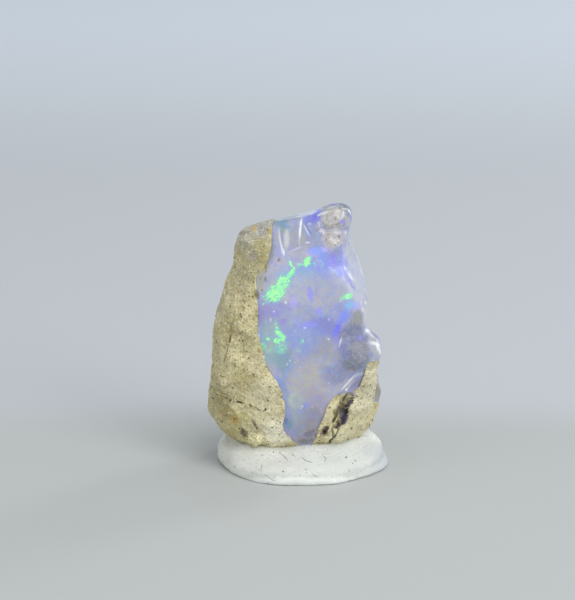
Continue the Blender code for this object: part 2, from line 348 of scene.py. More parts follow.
def rounded(points, plan_power, upright_power):
    """Points of a cube drawn in to a rounded block."""
    x, y, z = np.abs(points).T
    plan = (x**plan_power + y**plan_power) ** (1 / plan_power)
    return points / ((plan**upright_power + z**upright_power) ** (1 / upright_power))[:, None]


def lumps(points, layers):
    """Height of layered noise at each point. A layer is (size, height)."""
    total = np.zeros(len(points))
    for size, height in layers:
        moved = points / size + np.array(NOISE_AT)
        total += height * np.array([noise.noise(Vector(point)) for point in moved])
    return total


def hill(x, z, bump):
    """Height of a round bump on the front face, seen from the front."""
    centre_x, centre_z, half_width, half_height, height = bump
    return height * np.exp(-(((x - centre_x) / half_width) ** 2) - ((z - centre_z) / half_height) ** 2)


def front_relief(x, z):
    """How far the front face moves towards the viewer at (x, z)."""
    out = sum(hill(x, z, bump) for bump in (KNOB, TOP_LUMP, LOWER_LUMP, SCOOP))
    beside = np.maximum(x - smooth_between(CREASE, z), 0.0)
    low, high = CREASE_SPAN
    begun = ease(low - CREASE_FADE, low, z)
    out = out - CREASE_TURN * beside * begun * (1 - ease(high - CREASE_FADE, high, z))
    lower = 1 - ease(TURN_HEIGHT - TURN_FADE, TURN_HEIGHT, z)
    return out - TURN_RATE * np.maximum(x - TURN_START, 0.0) ** 2 * lower


def picture_relief(across, up, features, steep=1):
    """Height of chips and ribs placed on the photograph. A steep one has a flat floor and sharp walls."""
    total = np.zeros(len(across))
    for pixel, half, turn, height in features:
        x, z = on_picture(*pixel)
        lean = math.radians(turn)
        side = ((across - x) * math.cos(lean) + (up - z) * math.sin(lean)) * PIXELS_PER_MM / half[0]
        along = ((up - z) * math.cos(lean) - (across - x) * math.sin(lean)) * PIXELS_PER_MM / half[1]
        total += height * np.exp(-((side**2 + along**2) ** steep))
    return total


def opal_detail(points, across, up):
    """Height of the opal's own front features: chips, gnarled lumps and the step above the flashes."""
    total = picture_relief(across, up, OPAL_RELIEF)
    (centre, half), layers = GNARLED
    total += picture_relief(across, up, ((centre, half, 0, 1.0),)) * lumps(points, layers)
    (x0, z0), (x1, z1) = (on_picture(*end) for end in STEP_LINE)
    above = up - (z0 + (z1 - z0) * (across - x0) / (x1 - x0))
    begun = ease(x0 + STEP_START[0], x0 + STEP_START[1], across)
    window = begun * (1 - ease(x1 + STEP_STOP[0], x1 + STEP_STOP[1], across))
    fading = np.exp(-np.maximum(above, 0) / STEP_FADE)
    total -= STEP_DEPTH * window * ease(-STEP_EDGE, STEP_EDGE, above) * fading
    return total


def knob_reach(across, deep, level):
    """How far the knob moves points of the block to the right. across and deep run from -1 to 1."""
    height, half_height, reach = KNOB_SIDE
    beside = reach * np.exp(-(((level - height) / half_height) ** 4))
    return beside * ease(*KNOB_SIDE_ACROSS, across) * ease(*KNOB_SIDE_FORWARD, -deep)


def stone_block(is_rock):
    """The whole stone as one closed block, with the rock's or the opal's surface."""
    shape = gridded_cube(STONE_CUTS)
    across, deep, up = rounded(places(shape), PLAN_POWER, UPRIGHT_POWER).T
    share = (up + 1) / 2
    level = STONE_BOTTOM + share * (STONE_TOP - STONE_BOTTOM)
    left, right = smooth_between(LEFT_EDGE, level), smooth_between(RIGHT_EDGE, level)
    front, back = smooth_between(FRONT_FACE, level), smooth_between(BACK_FACE, level)
    x = (left + right) / 2 + across * (right - left) / 2 + knob_reach(across, deep, level)
    y = (front + back) / 2 + deep * (back - front) / 2
    z = level + TOP_SLOPE * share**TOP_CURVE * x
    y = y - front_relief(x, z) * ease(*FRONT_FADE, -deep)
    crest_x, crest_z, crest_width, crest_height = CREST
    crest = crest_height * np.exp(-(((x - crest_x) / crest_width) ** 2))
    z = z + crest * ease(crest_z - CREST_FADE, crest_z, z)
    points = np.stack([x, y, z], axis=1)
    set_places(shape, points)
    normals = directions(shape)
    facing = ease(*FACING_FRONT, -normals[:, 1])
    amount = lumps(points, STONE_LAYERS)
    if is_rock:
        kept = 1 - RIDGE_LOSS * ease(*RIDGE_FADE, z)
        amount += ROCK_PROUD + kept * (lumps(points, RIDGE_LAYERS) + lumps(points, ROCK_LAYERS))
        ragged = lumps(points, RAGGED_LAYERS)
        amount += facing * picture_relief(x + ragged, seen_height(points) - ragged, ROCK_RELIEF, steep=2)
    else:
        amount += lumps(points, OPAL_LAYERS)
        amount += facing * opal_detail(points, x, seen_height(points))
    points = points + normals * amount[:, None]
    points[:, 2] = np.maximum(points[:, 2], STONE_BOTTOM)
    set_places(shape, points)
    return shape


def seam_block(grow):
    """The tooth of opal as a loft of rounded sections with a rough, broken surface."""
    shape = bmesh.new()
    low, high = SEAM_HEIGHTS
    heights = np.linspace(low, high, SEAM_ROWS + 1)
    left = smooth_between(SEAM_LEFT, heights) - grow
    right = smooth_between(SEAM_RIGHT, heights) + grow
    back = smooth_between(SEAM_BACK, heights) + grow
    turns = np.linspace(0, 2 * math.pi, SEAM_POINTS, endpoint=False)
    across = np.sign(np.cos(turns)) * np.abs(np.cos(turns)) ** (2 / SEAM_POWER)
    deep = np.sign(np.sin(turns)) * np.abs(np.sin(turns)) ** (2 / SEAM_POWER)
    slope, level, near, far = SEAM_LEAN
    rings = []
    for row, z in enumerate(heights):
        x = (left[row] + right[row]) / 2 + across * (right[row] - left[row]) / 2
        y = (SEAM_FRONT + back[row]) / 2 + deep * (back[row] - SEAM_FRONT) / 2
        up = z - slope * (np.clip(y, near, far) - level) * ease(0.0, SEAM_LEAN_WHOLE, x)
        rings.append([shape.verts.new((x[k], y[k], up[k])) for k in range(SEAM_POINTS)])
    for below, above in zip(rings, rings[1:]):
        for k in range(SEAM_POINTS):
            after = (k + 1) % SEAM_POINTS
            shape.faces.new((below[k], below[after], above[after], above[k]))
    shape.faces.new(rings[0][::-1])
    shape.faces.new(rings[-1])
    shape.normal_update()
    points, normals = places(shape), directions(shape)
    flat = np.array([0, 0, 1]) * normals[:, 2:]
    set_places(shape, points + (normals - flat) * lumps(points, SEAM_LAYERS)[:, None])
    return shape


def lobe_block(grow):
    """The lobe of opal that joins the tooth inside the rock and shows at the right edge."""
    shape = bmesh.new()
    bmesh.ops.create_icosphere(shape, subdivisions=5, radius=1.0)
    points = places(shape) * (np.array(LOBE_HALF) + grow) + np.array(LOBE_CENTRE)
    set_places(shape, points)
    set_places(shape, points + directions(shape) * lumps(points, SEAM_LAYERS)[:, None])
    return shape


def putty_block():
    """A ball of putty pressed flat: a soft rim, finger dents, a smeared foot and a flat underside."""
    shape = gridded_cube(PUTTY_CUTS)
    across, deep, up = rounded(places(shape), PUTTY_PLAN_POWER, PUTTY_EDGE_POWER).T
    flat = np.stack([across, deep, np.zeros(len(up))], axis=1) * PUTTY_HALF_WIDTH
    dent = 1 + PUTTY_DENT / PUTTY_HALF_WIDTH * lumps(flat, ((PUTTY_DENT_SIZE, 1.0),))
    z = PUTTY_BULGE_HEIGHT + up * (PUTTY_TOP - PUTTY_BULGE_HEIGHT)
    direction, spread, reach, height = SMEAR
    off = (np.degrees(np.arctan2(deep, across)) - direction) / spread
    foot = np.hypot(across, deep) ** SMEAR_POWER * (1 - ease(0.0, height, z))
    widen = dent + reach / PUTTY_HALF_WIDTH * np.exp(-(off**2)) * foot
    x = across * PUTTY_HALF_WIDTH * widen
    y = deep * PUTTY_HALF_DEPTH * widen
    under = np.hypot((x - FOOT_CENTRE[0]) / FOOT_HALF[0], (y - FOOT_CENTRE[1]) / FOOT_HALF[1])
    z = z + FOOT_RISE * (1 - ease(*FOOT_SLOPE, under)) * ease(*FOOT_LEVELS, z)
    points = np.stack([x, y, z], axis=1)
    set_places(shape, points)
    set_places(shape, points + directions(shape) * lumps(points, PUTTY_LAYERS)[:, None])
    cut = bmesh.ops.bisect_plane(
        shape,
        geom=shape.verts[:] + shape.edges[:] + shape.faces[:],
        plane_co=(0, 0, 0),
        plane_no=(0, 0, -1),
        clear_outer=True,
    )
    rim = [part for part in cut["geom_cut"] if isinstance(part, bmesh.types.BMEdge)]
    bmesh.ops.holes_fill(shape, edges=rim)
    return shape


def placed(name, data):
    """A new object in the scene, at the origin."""
    thing = bpy.data.objects.new(name, data)
    bpy.context.scene.collection.objects.link(thing)
    return thing


def meshed(name, shape):
    """A new object with a shape's smooth mesh. The shape is used up."""
    mesh = bpy.data.meshes.new(name)
    shape.to_mesh(mesh)
    shape.free()
    mesh.shade_smooth()
    return placed(name, mesh)


def plain_mesh(name, thing):
    """The mesh of an object with its modifiers carried out."""
    mesh = bpy.data.meshes.new_from_object(thing.evaluated_get(bpy.context.evaluated_depsgraph_get()))
    mesh.name = name
    return mesh


def object_from(shape, name):
    """A named object in metres from a shape in millimetres."""
    bmesh.ops.scale(shape, vec=(MM, MM, MM), verts=shape.verts)
    bmesh.ops.recalc_face_normals(shape, faces=shape.faces[:])
    return meshed(name, shape)


def joined(name, first, second, operation):
    """A new object from two closed ones, which are removed."""
    modifier = first.modifiers.new("join", "BOOLEAN")
    modifier.operation = operation
    modifier.object = second
    modifier.solver = "MANIFOLD"
    thing = placed(name, plain_mesh(name, first))
    for used in (first, second):
        bpy.data.objects.remove(used, do_unlink=True)
    return thing


def seam_with_lobe(grow):
    """The opal's tooth and its lobe as one solid, made larger by grow."""
    seam = object_from(seam_block(grow), "seam")
    return joined("seam_with_lobe", seam, object_from(lobe_block(grow), "lobe"), "UNION")


class Wire:
    """One value in a node tree. Arithmetic on it adds Math nodes."""

    def __init__(self, nodes, socket):
        self.nodes = nodes
        self.socket = socket

    def maths(self, operation, *values):
        """A Math node on these values."""
        return self.nodes.node("ShaderNodeMath", {"operation": operation}, dict(enumerate(values)))

    def __add__(self, other):
        return self.maths("ADD", self, other)

    __radd__ = __add__

    def __sub__(self, other):
        return self.maths("SUBTRACT", self, other)

    def __rsub__(self, other):
        return self.maths("SUBTRACT", other, self)

    def __mul__(self, other):
        return self.maths("MULTIPLY", self, other)

    __rmul__ = __mul__

    def scaled(self, factor, offset):
        """This value times a factor, plus an offset."""
        return self.maths("MULTIPLY_ADD", self, factor, offset)

    def at_least(self, other):
        """The larger of this value and another."""
        return self.maths("MAXIMUM", self, other)


class Nodes:
    """A node tree, written as expressions on wires."""

    def __init__(self, tree):
        self.tree = tree

    def node(self, kind, settings=None, values=None, out=0):
        """Add a node, its settings first and then its sockets, and give back one output."""
        made = self.tree.nodes.new(kind)
        for name, value in (settings or {}).items():
            setattr(made, name, value)
        for name, value in (values or {}).items():
            if isinstance(value, Wire):
                self.tree.links.new(value.socket, made.inputs[name])
            else:
                made.inputs[name].default_value = value
        return Wire(self, made.outputs[out])

    def vector_maths(self, operation, first, second=(0, 0, 0), scale=1.0):
        """A Vector Math node on one or two vectors."""
        sockets = {0: first, "Scale": scale} if operation == "SCALE" else {0: first, 1: second}
        out = "Value" if operation == "DOT_PRODUCT" else "Vector"
        return self.node("ShaderNodeVectorMath", {"operation": operation}, sockets, out)

    def noise(self, point, size, detail=2.0, roughness=0.5, out="Fac"):
        """Soft clouds of about this size."""
        values = {"Vector": point, "Scale": 1 / size, "Detail": detail, "Roughness": roughness}
        return self.node("ShaderNodeTexNoise", {}, values, out)

    def cells(self, point, size, out="Distance"):
        """The distance from the nearest of many scattered points."""
        return self.node("ShaderNodeTexVoronoi", {}, {"Vector": point, "Scale": 1 / size}, out)

    def pick(self, point, size, channel="Red"):
        """A random number for each cell."""
        drawn = self.cells(point, size, "Color")
        return self.node("ShaderNodeSeparateColor", {}, {"Color": drawn}, channel)

    def strayed(self, point, size, amount, detail=2.0):
        """The point moved about by noise, which feathers what is drawn on it."""
        clouds = self.noise(point, size, detail, out="Color")
        stray = self.vector_maths("SUBTRACT", clouds, (0.5, 0.5, 0.5))
        return self.vector_maths("ADD", point, self.vector_maths("SCALE", stray, scale=amount))

    def step(self, value, low, high, top=1.0):
        """0 below low, top above high, smooth between. low may be the larger one."""
        values = {"Value": value, "From Min": low, "From Max": high, "To Max": top}
        return self.node("ShaderNodeMapRange", {"interpolation_type": "SMOOTHSTEP"}, values)

    def blend(self, factor, first, second):
        """A colour between two."""
        settings = {"data_type": "RGBA", "clamp_factor": True}
        return self.node("ShaderNodeMix", settings, {0: factor, 6: first, 7: second}, out=2)


def node_group(name, kind, inputs, outputs):
    """A node group with its sockets, as (name, type): its nodes, its given values by name, and its tree."""
    tree = bpy.data.node_groups.new(name, kind)
    for in_out, sockets in (("INPUT", inputs), ("OUTPUT", outputs)):
        for socket, value in sockets:
            tree.interface.new_socket(name=socket, in_out=in_out, socket_type="NodeSocket" + value)
    nodes = Nodes(tree)
    entry = tree.nodes.new("NodeGroupInput")
    given = {socket.name: Wire(nodes, socket) for socket in entry.outputs if socket.name}
    return nodes, given, tree


def give_back(tree, **wires):
    """Connect a node group's outputs, by their names."""
    result = tree.nodes.new("NodeGroupOutput")
    for name, wire in wires.items():
        tree.links.new(wire.socket, result.inputs[name])


def mark_group():
    """Nodes that draw one soft ellipse on a body colour, and give its mask."""
    inputs = (
        ("Body", "Color"), ("Tint", "Color"), ("Place", "Vector"), ("Centre", "Vector"),
        ("Side", "Vector"), ("Along", "Vector"), ("Grain", "Float"), ("Outer", "Float"),
        ("Inner", "Float"), ("Strength", "Float"),
    )
    outputs = (("Body", "Color"), ("Mask", "Float"))
    nodes, given, tree = node_group("mark", "ShaderNodeTree", inputs, outputs)
    offset = nodes.vector_maths("SUBTRACT", given["Place"], given["Centre"])
    side = nodes.vector_maths("DOT_PRODUCT", offset, given["Side"])
    along = nodes.vector_maths("DOT_PRODUCT", offset, given["Along"])
    away = side.scaled(side, along.scaled(along, given["Grain"]))
    mask = nodes.step(away, given["Outer"], given["Inner"], given["Strength"])
    give_back(tree, Body=nodes.blend(mask, given["Body"], given["Tint"]), Mask=mask)
    return tree


class Finish(Nodes):
    """A node material. Its patterns are in millimetres."""

    def __init__(self, name):
        self.material = bpy.data.materials.new(name)
        self.material.use_nodes = True
        super().__init__(self.material.node_tree)
        self.tree.nodes.clear()
        self.place = self.vector_maths("SCALE", self.node("ShaderNodeTexCoord", out="Object"), scale=1 / MM)
        self.picture = self.node(
            "ShaderNodeMapping",
            {"vector_type": "POINT"},
            {"Vector": self.place, "Rotation": (LOOK_DOWN, 0, 0)},
        )

    def mark(self, place, pixel, half, turn=0, soft=0.6, strength=1.0, body=None, tint=None, grain=0.0):
        """An ellipse on the photograph, half sizes in pixels: its mask, or the body with its tint on it."""
        x, z = on_picture(*pixel)
        wide, tall = half[0] / PIXELS_PER_MM, half[1] / PIXELS_PER_MM
        cos, sin = math.cos(math.radians(turn)), math.sin(math.radians(turn))
        values = {
            "Place": place,
            "Centre": (x, 0, z),
            "Side": (cos / wide, 0, sin / wide),
            "Along": (-sin / tall, 0, cos / tall),
            "Grain": grain,
            "Outer": (1 + soft) ** 2,
            "Inner": (1 - soft) ** 2,
            "Strength": strength,
        }
        if body is None:
            return self.node("ShaderNodeGroup", {"node_tree": MARK}, values, "Mask")
        values.update({"Body": body, "Tint": tint})
        return self.node("ShaderNodeGroup", {"node_tree": MARK}, values, "Body")

    def marks(self, body, place, features, soft, grain=0.0):
        """The body colour with a list of (pixel, half sizes, turn, colour, strength) drawn on it."""
        for pixel, half, turn, tint, strength in features:
            body = self.mark(place, pixel, half, turn, soft, strength, body, colour(*tint), grain)
        return body

    def strongest(self, place, features):
        """The strongest of several (pixel, half sizes, turn, softness, strength) marks at each point."""
        total = self.mark(place, *features[0])
        for feature in features[1:]:
            total = total.at_least(self.mark(place, *feature))
        return total

    def toned(self, body, pattern, *tones, within=None):
        """The body colour with (from, to, strength, colour) tones where a pattern runs from low to high."""
        for start, end, strength, tint in tones:
            factor = self.step(pattern, start, end, strength)
            body = self.blend(within * factor if within else factor, body, colour(*tint))
        return body

    def dots(self, size, edge, drawn):
        """Round dots in some cells: their edge from outside in, and the step on each cell's number."""
        return self.step(self.cells(self.place, size), *edge) * self.step(self.pick(self.place, size), *drawn)

    def depth(self):
        """How far back a point is."""
        return self.node("ShaderNodeSeparateXYZ", {}, {0: self.place}, 1)

    def behind(self):
        """Nothing on the front, and enough at the back to push a mark's edge in to nothing."""
        return self.step(self.depth(), *BEHIND)

    def bump(self, height, depth, strength=1.0, under=None):
        """A surface that a pattern raises by up to this depth, over another one if given."""
        values = {"Strength": strength, "Distance": depth * MM, "Height": height}
        if under:
            values["Normal"] = under
        return self.node("ShaderNodeBump", {}, values)

    def shader(self, **values):
        """A Principled surface. A socket's name is given in small letters with underscores."""
        named = {"IOR" if name == "ior" else name.replace("_", " ").title(): values[name] for name in values}
        return self.node("ShaderNodeBsdfPrincipled", {}, named)

    def finished(self, surface, inside=None):
        """The material, with its surface and what fills it."""
        output = self.tree.nodes.new("ShaderNodeOutputMaterial")
        self.tree.links.new(surface.socket, output.inputs["Surface"])
        if inside:
            self.tree.links.new(inside.socket, output.inputs["Volume"])
        return self.material


MARK = mark_group()


def colour(red, green, blue):
    """A screen colour, 0 to 255, as a linear one."""
    parts = [part / 255 for part in (red, green, blue)]
    return (*(part / 12.92 if part <= 0.04045 else ((part + 0.055) / 1.055) ** 2.4 for part in parts), 1.0)


BLACK = (0.0, 0.0, 0.0, 1.0)
# How far back, in millimetres, a point starts to count as behind and wholly does, and its weight then
BEHIND = (0.0, 1.5, 8.0)

# The opal as a clear material: what its glassy parts let through, and how milky ones differ
OPAL_IOR = 1.45
GLASSY_TINT = (0.93, 0.94, 1.0, 1.0)
GLASSY_ROUGHNESS = 0.03
MILKY_ROUGHNESS = 0.12
LEAST_CLEAR = 0.14
ABSORPTION_COLOUR = (0.78, 0.82, 1.0, 1.0)
ABSORPTION_PER_METRE = 25.0
# Size of its cells of violet and blue fire, in millimetres
FIRE_SIZE = 0.26
# The knob's frosted face and the gnarled lumps: (pixel, half sizes, turn, softness, strength)
FROSTED_KNOB = ((354, 345), (15, 26), 0, 0.4, 0.4)
GNARLED_LUMPS = ((333, 231), (13, 23), 0, 0.4, 0.5)

# Broad veils of colour in the opal: (pixel, half sizes, turn, colour, strength)
VEILS = (
    ((296, 232), (26, 16), 0, (158, 164, 188), 0.8),
    ((313, 224), (7, 6.5), 0, (122, 127, 198), 0.9),
    ((283, 229), (9, 5), -20, (100, 150, 154), 0.7),
    ((292, 243), (14, 10), 0, (180, 177, 171), 0.7),
    ((344, 240), (5, 9), 0, (70, 74, 172), 0.75),
    ((345, 210), (6, 6), -30, (106, 114, 110), 0.75),
    ((355, 272), (10, 36), 13, (208, 213, 226), 1.0),
    ((266, 258), (4, 16), -8, (136, 136, 131), 0.8),
    ((317, 256), (10, 5), 0, (195, 183, 255), 0.8),
    ((325, 272), (18, 10), 10, (144, 161, 240), 0.7),
    ((334, 268), (6, 16), 0, (141, 154, 214), 0.5),
    ((300, 281), (16, 10), 0, (132, 179, 228), 0.7),
    ((305, 298), (24, 14), 0, (183, 185, 199), 0.85),
    ((328, 292), (14, 14), 0, (171, 174, 191), 0.8),
    ((270, 315), (13, 13), 0, (148, 147, 200), 0.85),
    ((300, 317), (18, 10), 10, (159, 168, 195), 0.7),
    ((322, 333), (16, 9), -20, (131, 136, 206), 0.85),
    ((303, 341), (18, 12), 0, (148, 167, 217), 0.8),
    ((270, 346), (13, 17), 0, (150, 188, 183), 0.75),
    ((266, 352), (3, 6), -10, (174, 192, 177), 0.7),
    ((283, 361), (9, 8), 0, (130, 162, 170), 0.75),
    ((327, 352), (12, 10), 0, (166, 164, 163), 0.8),
    ((310, 378), (16, 18), 0, (181, 178, 173), 0.9),
    ((283, 388), (6, 18), -18, (144, 160, 198), 0.8),
    ((337, 376), (12, 8), 20, (139, 144, 179), 0.85),
    ((295, 402), (8, 8), 0, (188, 206, 178), 0.6),
    ((318, 402), (12, 12), 0, (173, 166, 180), 0.8),
    ((310, 426), (12, 14), 0, (152, 149, 157), 0.9),
    ((299, 416), (7, 12), 0, (158, 172, 186), 0.6),
    ((288, 424), (5, 8), 0, (148, 158, 181), 0.9),
    ((313, 438), (15, 8), 0, (156, 150, 164), 0.9),
    ((364, 311), (4, 10), 0, (198, 198, 216), 0.8),
    ((370, 346), (8, 17), 22, (184, 186, 193), 0.9),
)
# Zones with a clearer edge, as in VEILS: the top edge's pale band, which is a painted highlight, the beige
# lumps and the skin of opal over the rock
ZONES = (
    # Painted highlight: the pale, nearly white band along the top edge
    ((289, 219.6), (14, 2.8), 14, (206, 211, 216), 0.9),
    ((308, 214.4), (13, 4.4), 14, (222, 230, 246), 0.9),
    ((309, 212.4), (9, 2.2), 14, (250, 254, 255), 0.95),
    ((333.5, 221.5), (12, 11.5), 0, (200, 195, 184), 0.9),
    ((332.5, 243), (10.5, 8), 0, (198, 191, 187), 0.9),
    ((261, 280), (5.5, 14), 0, (181, 184, 178), 0.9),
    ((357, 274), (5, 24), 12, (202, 206, 222), 0.6),
    ((265.6, 269.5), (2, 6.5), 0, (193, 184, 122), 0.8),
    ((378.5, 385), (6, 17), 0, (160, 157, 146), 0.95),
)
# The hazy grey heart of the knob, as in VEILS
KNOB_HAZE = (
    ((355, 326), (5.8, 14), -16, (156, 158, 162), 1.0),
    ((365.6, 317), (2.4, 7), 0, (208, 210, 220), 0.8),
    ((352, 342), (13.5, 16), -12, (122, 128, 161), 1.0),
    ((354, 358), (15, 13), 18, (120, 127, 144), 1.0),
    ((343, 352), (5, 10), 12, (132, 138, 182), 0.8),
    ((360, 350), (9, 7), 0, (141, 141, 150), 0.7),
    ((338.5, 362), (3.6, 5), 0, (156, 160, 188), 0.45),
)

# Small bright marks in the opal: flecks of violet and blue, and pale healed cracks
FLECKS = (
    ((309.9, 297), (2.2, 7), 6, (146, 146, 255), 0.8),
    ((293.5, 305.5), (2.8, 5), 0, (186, 168, 252), 0.7),
    ((318, 314), (2.8, 4.5), 10, (146, 146, 255), 0.8),
    ((308, 327), (7.5, 3.4), 0, (150, 154, 255), 0.7),
    ((296, 323.5), (4, 3), 0, (150, 168, 240), 0.6),
    ((316.5, 220), (3.4, 6), -20, (108, 106, 240), 0.8),
    ((307, 222), (4, 3), 15, (134, 136, 232), 0.7),
    ((341.5, 226.5), (2.8, 2.6), 0, (136, 122, 244), 0.9),
    ((332, 208.4), (3, 2.4), 0, (132, 120, 232), 0.9),
    ((333, 264), (3.4, 6), 0, (150, 140, 250), 0.8),
    ((326, 267), (3, 4), 20, (148, 148, 248), 0.7),
    ((338.5, 275.5), (2.6, 5), 20, (140, 146, 244), 0.7),
    ((315, 254), (6, 4), 10, (130, 168, 255), 0.8),
    ((322, 259.5), (3, 4), -30, (124, 168, 255), 0.7),
    ((340.5, 262), (1.4, 12), 0, (140, 142, 242), 0.8),
    ((349, 285), (1.6, 8), 33, (148, 150, 236), 0.7),
    ((355, 308.5), (3, 4), 0, (178, 178, 255), 0.9),
    ((348.5, 307.5), (4, 5), -20, (140, 192, 244), 0.9),
    ((342.5, 319), (3.6, 7.5), -32, (122, 144, 255), 0.9),
    ((337, 331), (3.4, 7), -18, (118, 120, 250), 0.9),
    ((335.5, 341.5), (2, 4.5), 14, (136, 134, 236), 0.7),
    ((343, 268), (3, 8), 6, (158, 164, 240), 0.6),
    ((276, 316), (4, 3), 0, (150, 138, 232), 0.6),
    ((282.5, 324), (4, 3), 20, (138, 132, 220), 0.6),
    ((305.5, 405.5), (2, 3.5), 0, (140, 146, 236), 0.7),
    ((300, 411), (2.4, 3.4), 0, (150, 166, 226), 0.5),
    ((285.6, 420.5), (2.4, 3.4), 0, (84, 104, 186), 0.7),
    ((289.4, 425), (2.4, 3.4), 0, (92, 162, 168), 0.55),
    ((278, 381), (2.6, 6), 25, (134, 160, 232), 0.6),
    ((350.5, 370.8), (1.5, 1.7), 0, (222, 180, 160), 0.9),
    ((345.5, 366), (3, 1.4), -25, (186, 186, 160), 0.6),
)

# Crisp marks on the opal's broken face: chips, ribs, healed cracks and dark outlines, and painted highlights
# on the front, the top edge and lump, the knob's rim and the glassy rods
GLINTS = (
    ((286.5, 242.5), (2.4, 8), 0, (206, 208, 214), 0.85),
    ((279.8, 239), (0.7, 6.5), 8, (210, 214, 226), 0.7),
    ((282.4, 251.5), (0.9, 7), 14, (206, 210, 226), 0.7),
    # Painted highlight: the white needle on the upper front
    ((300.6, 230.5), (1, 7.5), -6, (238, 240, 250), 0.95),
    ((299.6, 236.5), (0.8, 5), 0, (244, 246, 252), 0.95),
    ((299.2, 244.5), (0.6, 4), 0, (202, 206, 226), 0.6),
    ((306.2, 234), (0.8, 5.5), 28, (200, 208, 236), 0.8),
    ((310, 233.5), (0.7, 4.5), 28, (186, 196, 232), 0.7),
    ((309, 228), (1.8, 1.2), 0, (188, 196, 230), 0.7),
    # Painted highlights on the top lump and along the top edge, with a dark line under the edge
    ((323, 217.4), (5.2, 1.2), 17, (238, 238, 244), 0.95),
    ((318.6, 219.4), (2, 0.9), 30, (226, 226, 240), 0.9),
    ((292, 220), (11, 0.7), 13, (146, 152, 174), 0.7),
    ((311, 211.4), (6, 1.2), 8, (224, 230, 236), 0.85),
    ((325.5, 205.6), (3, 0.9), 24, (226, 228, 234), 0.7),
    # Painted highlights: the thin arc at the knob's left and its bright rim at the right
    ((339.6, 343.6), (0.8, 4.6), -16, (196, 200, 216), 0.85),
    ((367, 332.2), (1.7, 2.4), 45, (242, 243, 246), 1.0),
    ((370.4, 336.2), (1, 4.6), 44, (232, 233, 240), 0.9),
    ((377.2, 344.6), (1.2, 4.4), 20, (240, 240, 244), 0.9),
    ((378.2, 350), (1.3, 5.4), 12, (244, 245, 250), 1.0),
    ((359.4, 339.5), (1.2, 2.4), 0, (140, 132, 230), 0.8),
    ((369.6, 356.2), (2.4, 1.6), 0, (142, 146, 204), 0.6),
    # Painted highlights along the glassy rods
    ((347.4, 383.4), (0.9, 9.5), -42, (220, 223, 232), 0.9),
    ((355, 376.6), (1.2, 4), -62, (186, 190, 206), 0.8),
    ((349, 386.2), (0.8, 6), -36, (208, 211, 224), 0.85),
    ((345.6, 390.4), (1.2, 1.2), 0, (238, 239, 244), 0.95),
    ((362, 374.6), (3.6, 1.4), 12, (190, 194, 200), 0.7),
    ((354.6, 384.5), (3, 6.5), -38, (158, 150, 186), 0.8),
    ((283.8, 256), (1, 3.5), 0, (212, 214, 246), 0.7),
    ((296, 252.4), (6, 0.8), 22, (206, 206, 226), 0.7),
    ((307.5, 246.3), (2.2, 0.9), 0, (226, 228, 248), 0.8),
    ((285.8, 305), (1.2, 1.4), 0, (216, 226, 236), 0.8),
    ((271, 322), (0.9, 1.8), 0, (206, 204, 236), 0.8),
    ((274, 314), (0.9, 0.9), 0, (210, 210, 236), 0.8),
    ((304, 330), (0.8, 0.8), 0, (214, 216, 244), 0.8),
    ((328, 322), (0.8, 0.8), 0, (206, 206, 240), 0.8),
    ((328, 341), (0.9, 0.9), 0, (214, 216, 240), 0.9),
    ((290, 362), (0.8, 0.8), 0, (200, 216, 232), 0.8),
    ((287, 366), (0.7, 1.2), 0, (196, 212, 230), 0.7),
    ((302, 407), (1.2, 0.9), 0, (200, 210, 236), 0.8),
    ((259.2, 339.6), (0.9, 3.6), 0, (216, 222, 232), 0.8),
    ((321.5, 234.6), (3, 1.5), 10, (224, 216, 232), 0.9),
    ((332.5, 233.4), (8, 0.8), 10, (206, 204, 214), 0.8),
    ((318.4, 228.5), (1, 3), 10, (210, 206, 226), 0.7),
    ((344.5, 236.5), (0.9, 1.8), 0, (236, 236, 246), 0.9),
    ((337.5, 244.6), (0.8, 0.8), 0, (238, 236, 236), 0.9),
    ((342.2, 218.4), (0.9, 3), 0, (232, 232, 244), 0.85),
    ((340, 208.5), (0.8, 4), 38, (142, 144, 150), 0.6),
    ((329.5, 206), (4, 0.7), 12, (150, 152, 160), 0.5),
    ((348.6, 216), (0.7, 4), 24, (206, 208, 216), 0.7),
    ((328, 251.6), (4.5, 0.8), -22, (196, 194, 206), 0.6),
    ((364.4, 304.6), (0.8, 1.6), 0, (240, 240, 246), 0.9),
    ((362.2, 311), (1.2, 2.4), 0, (222, 222, 230), 0.7),
)
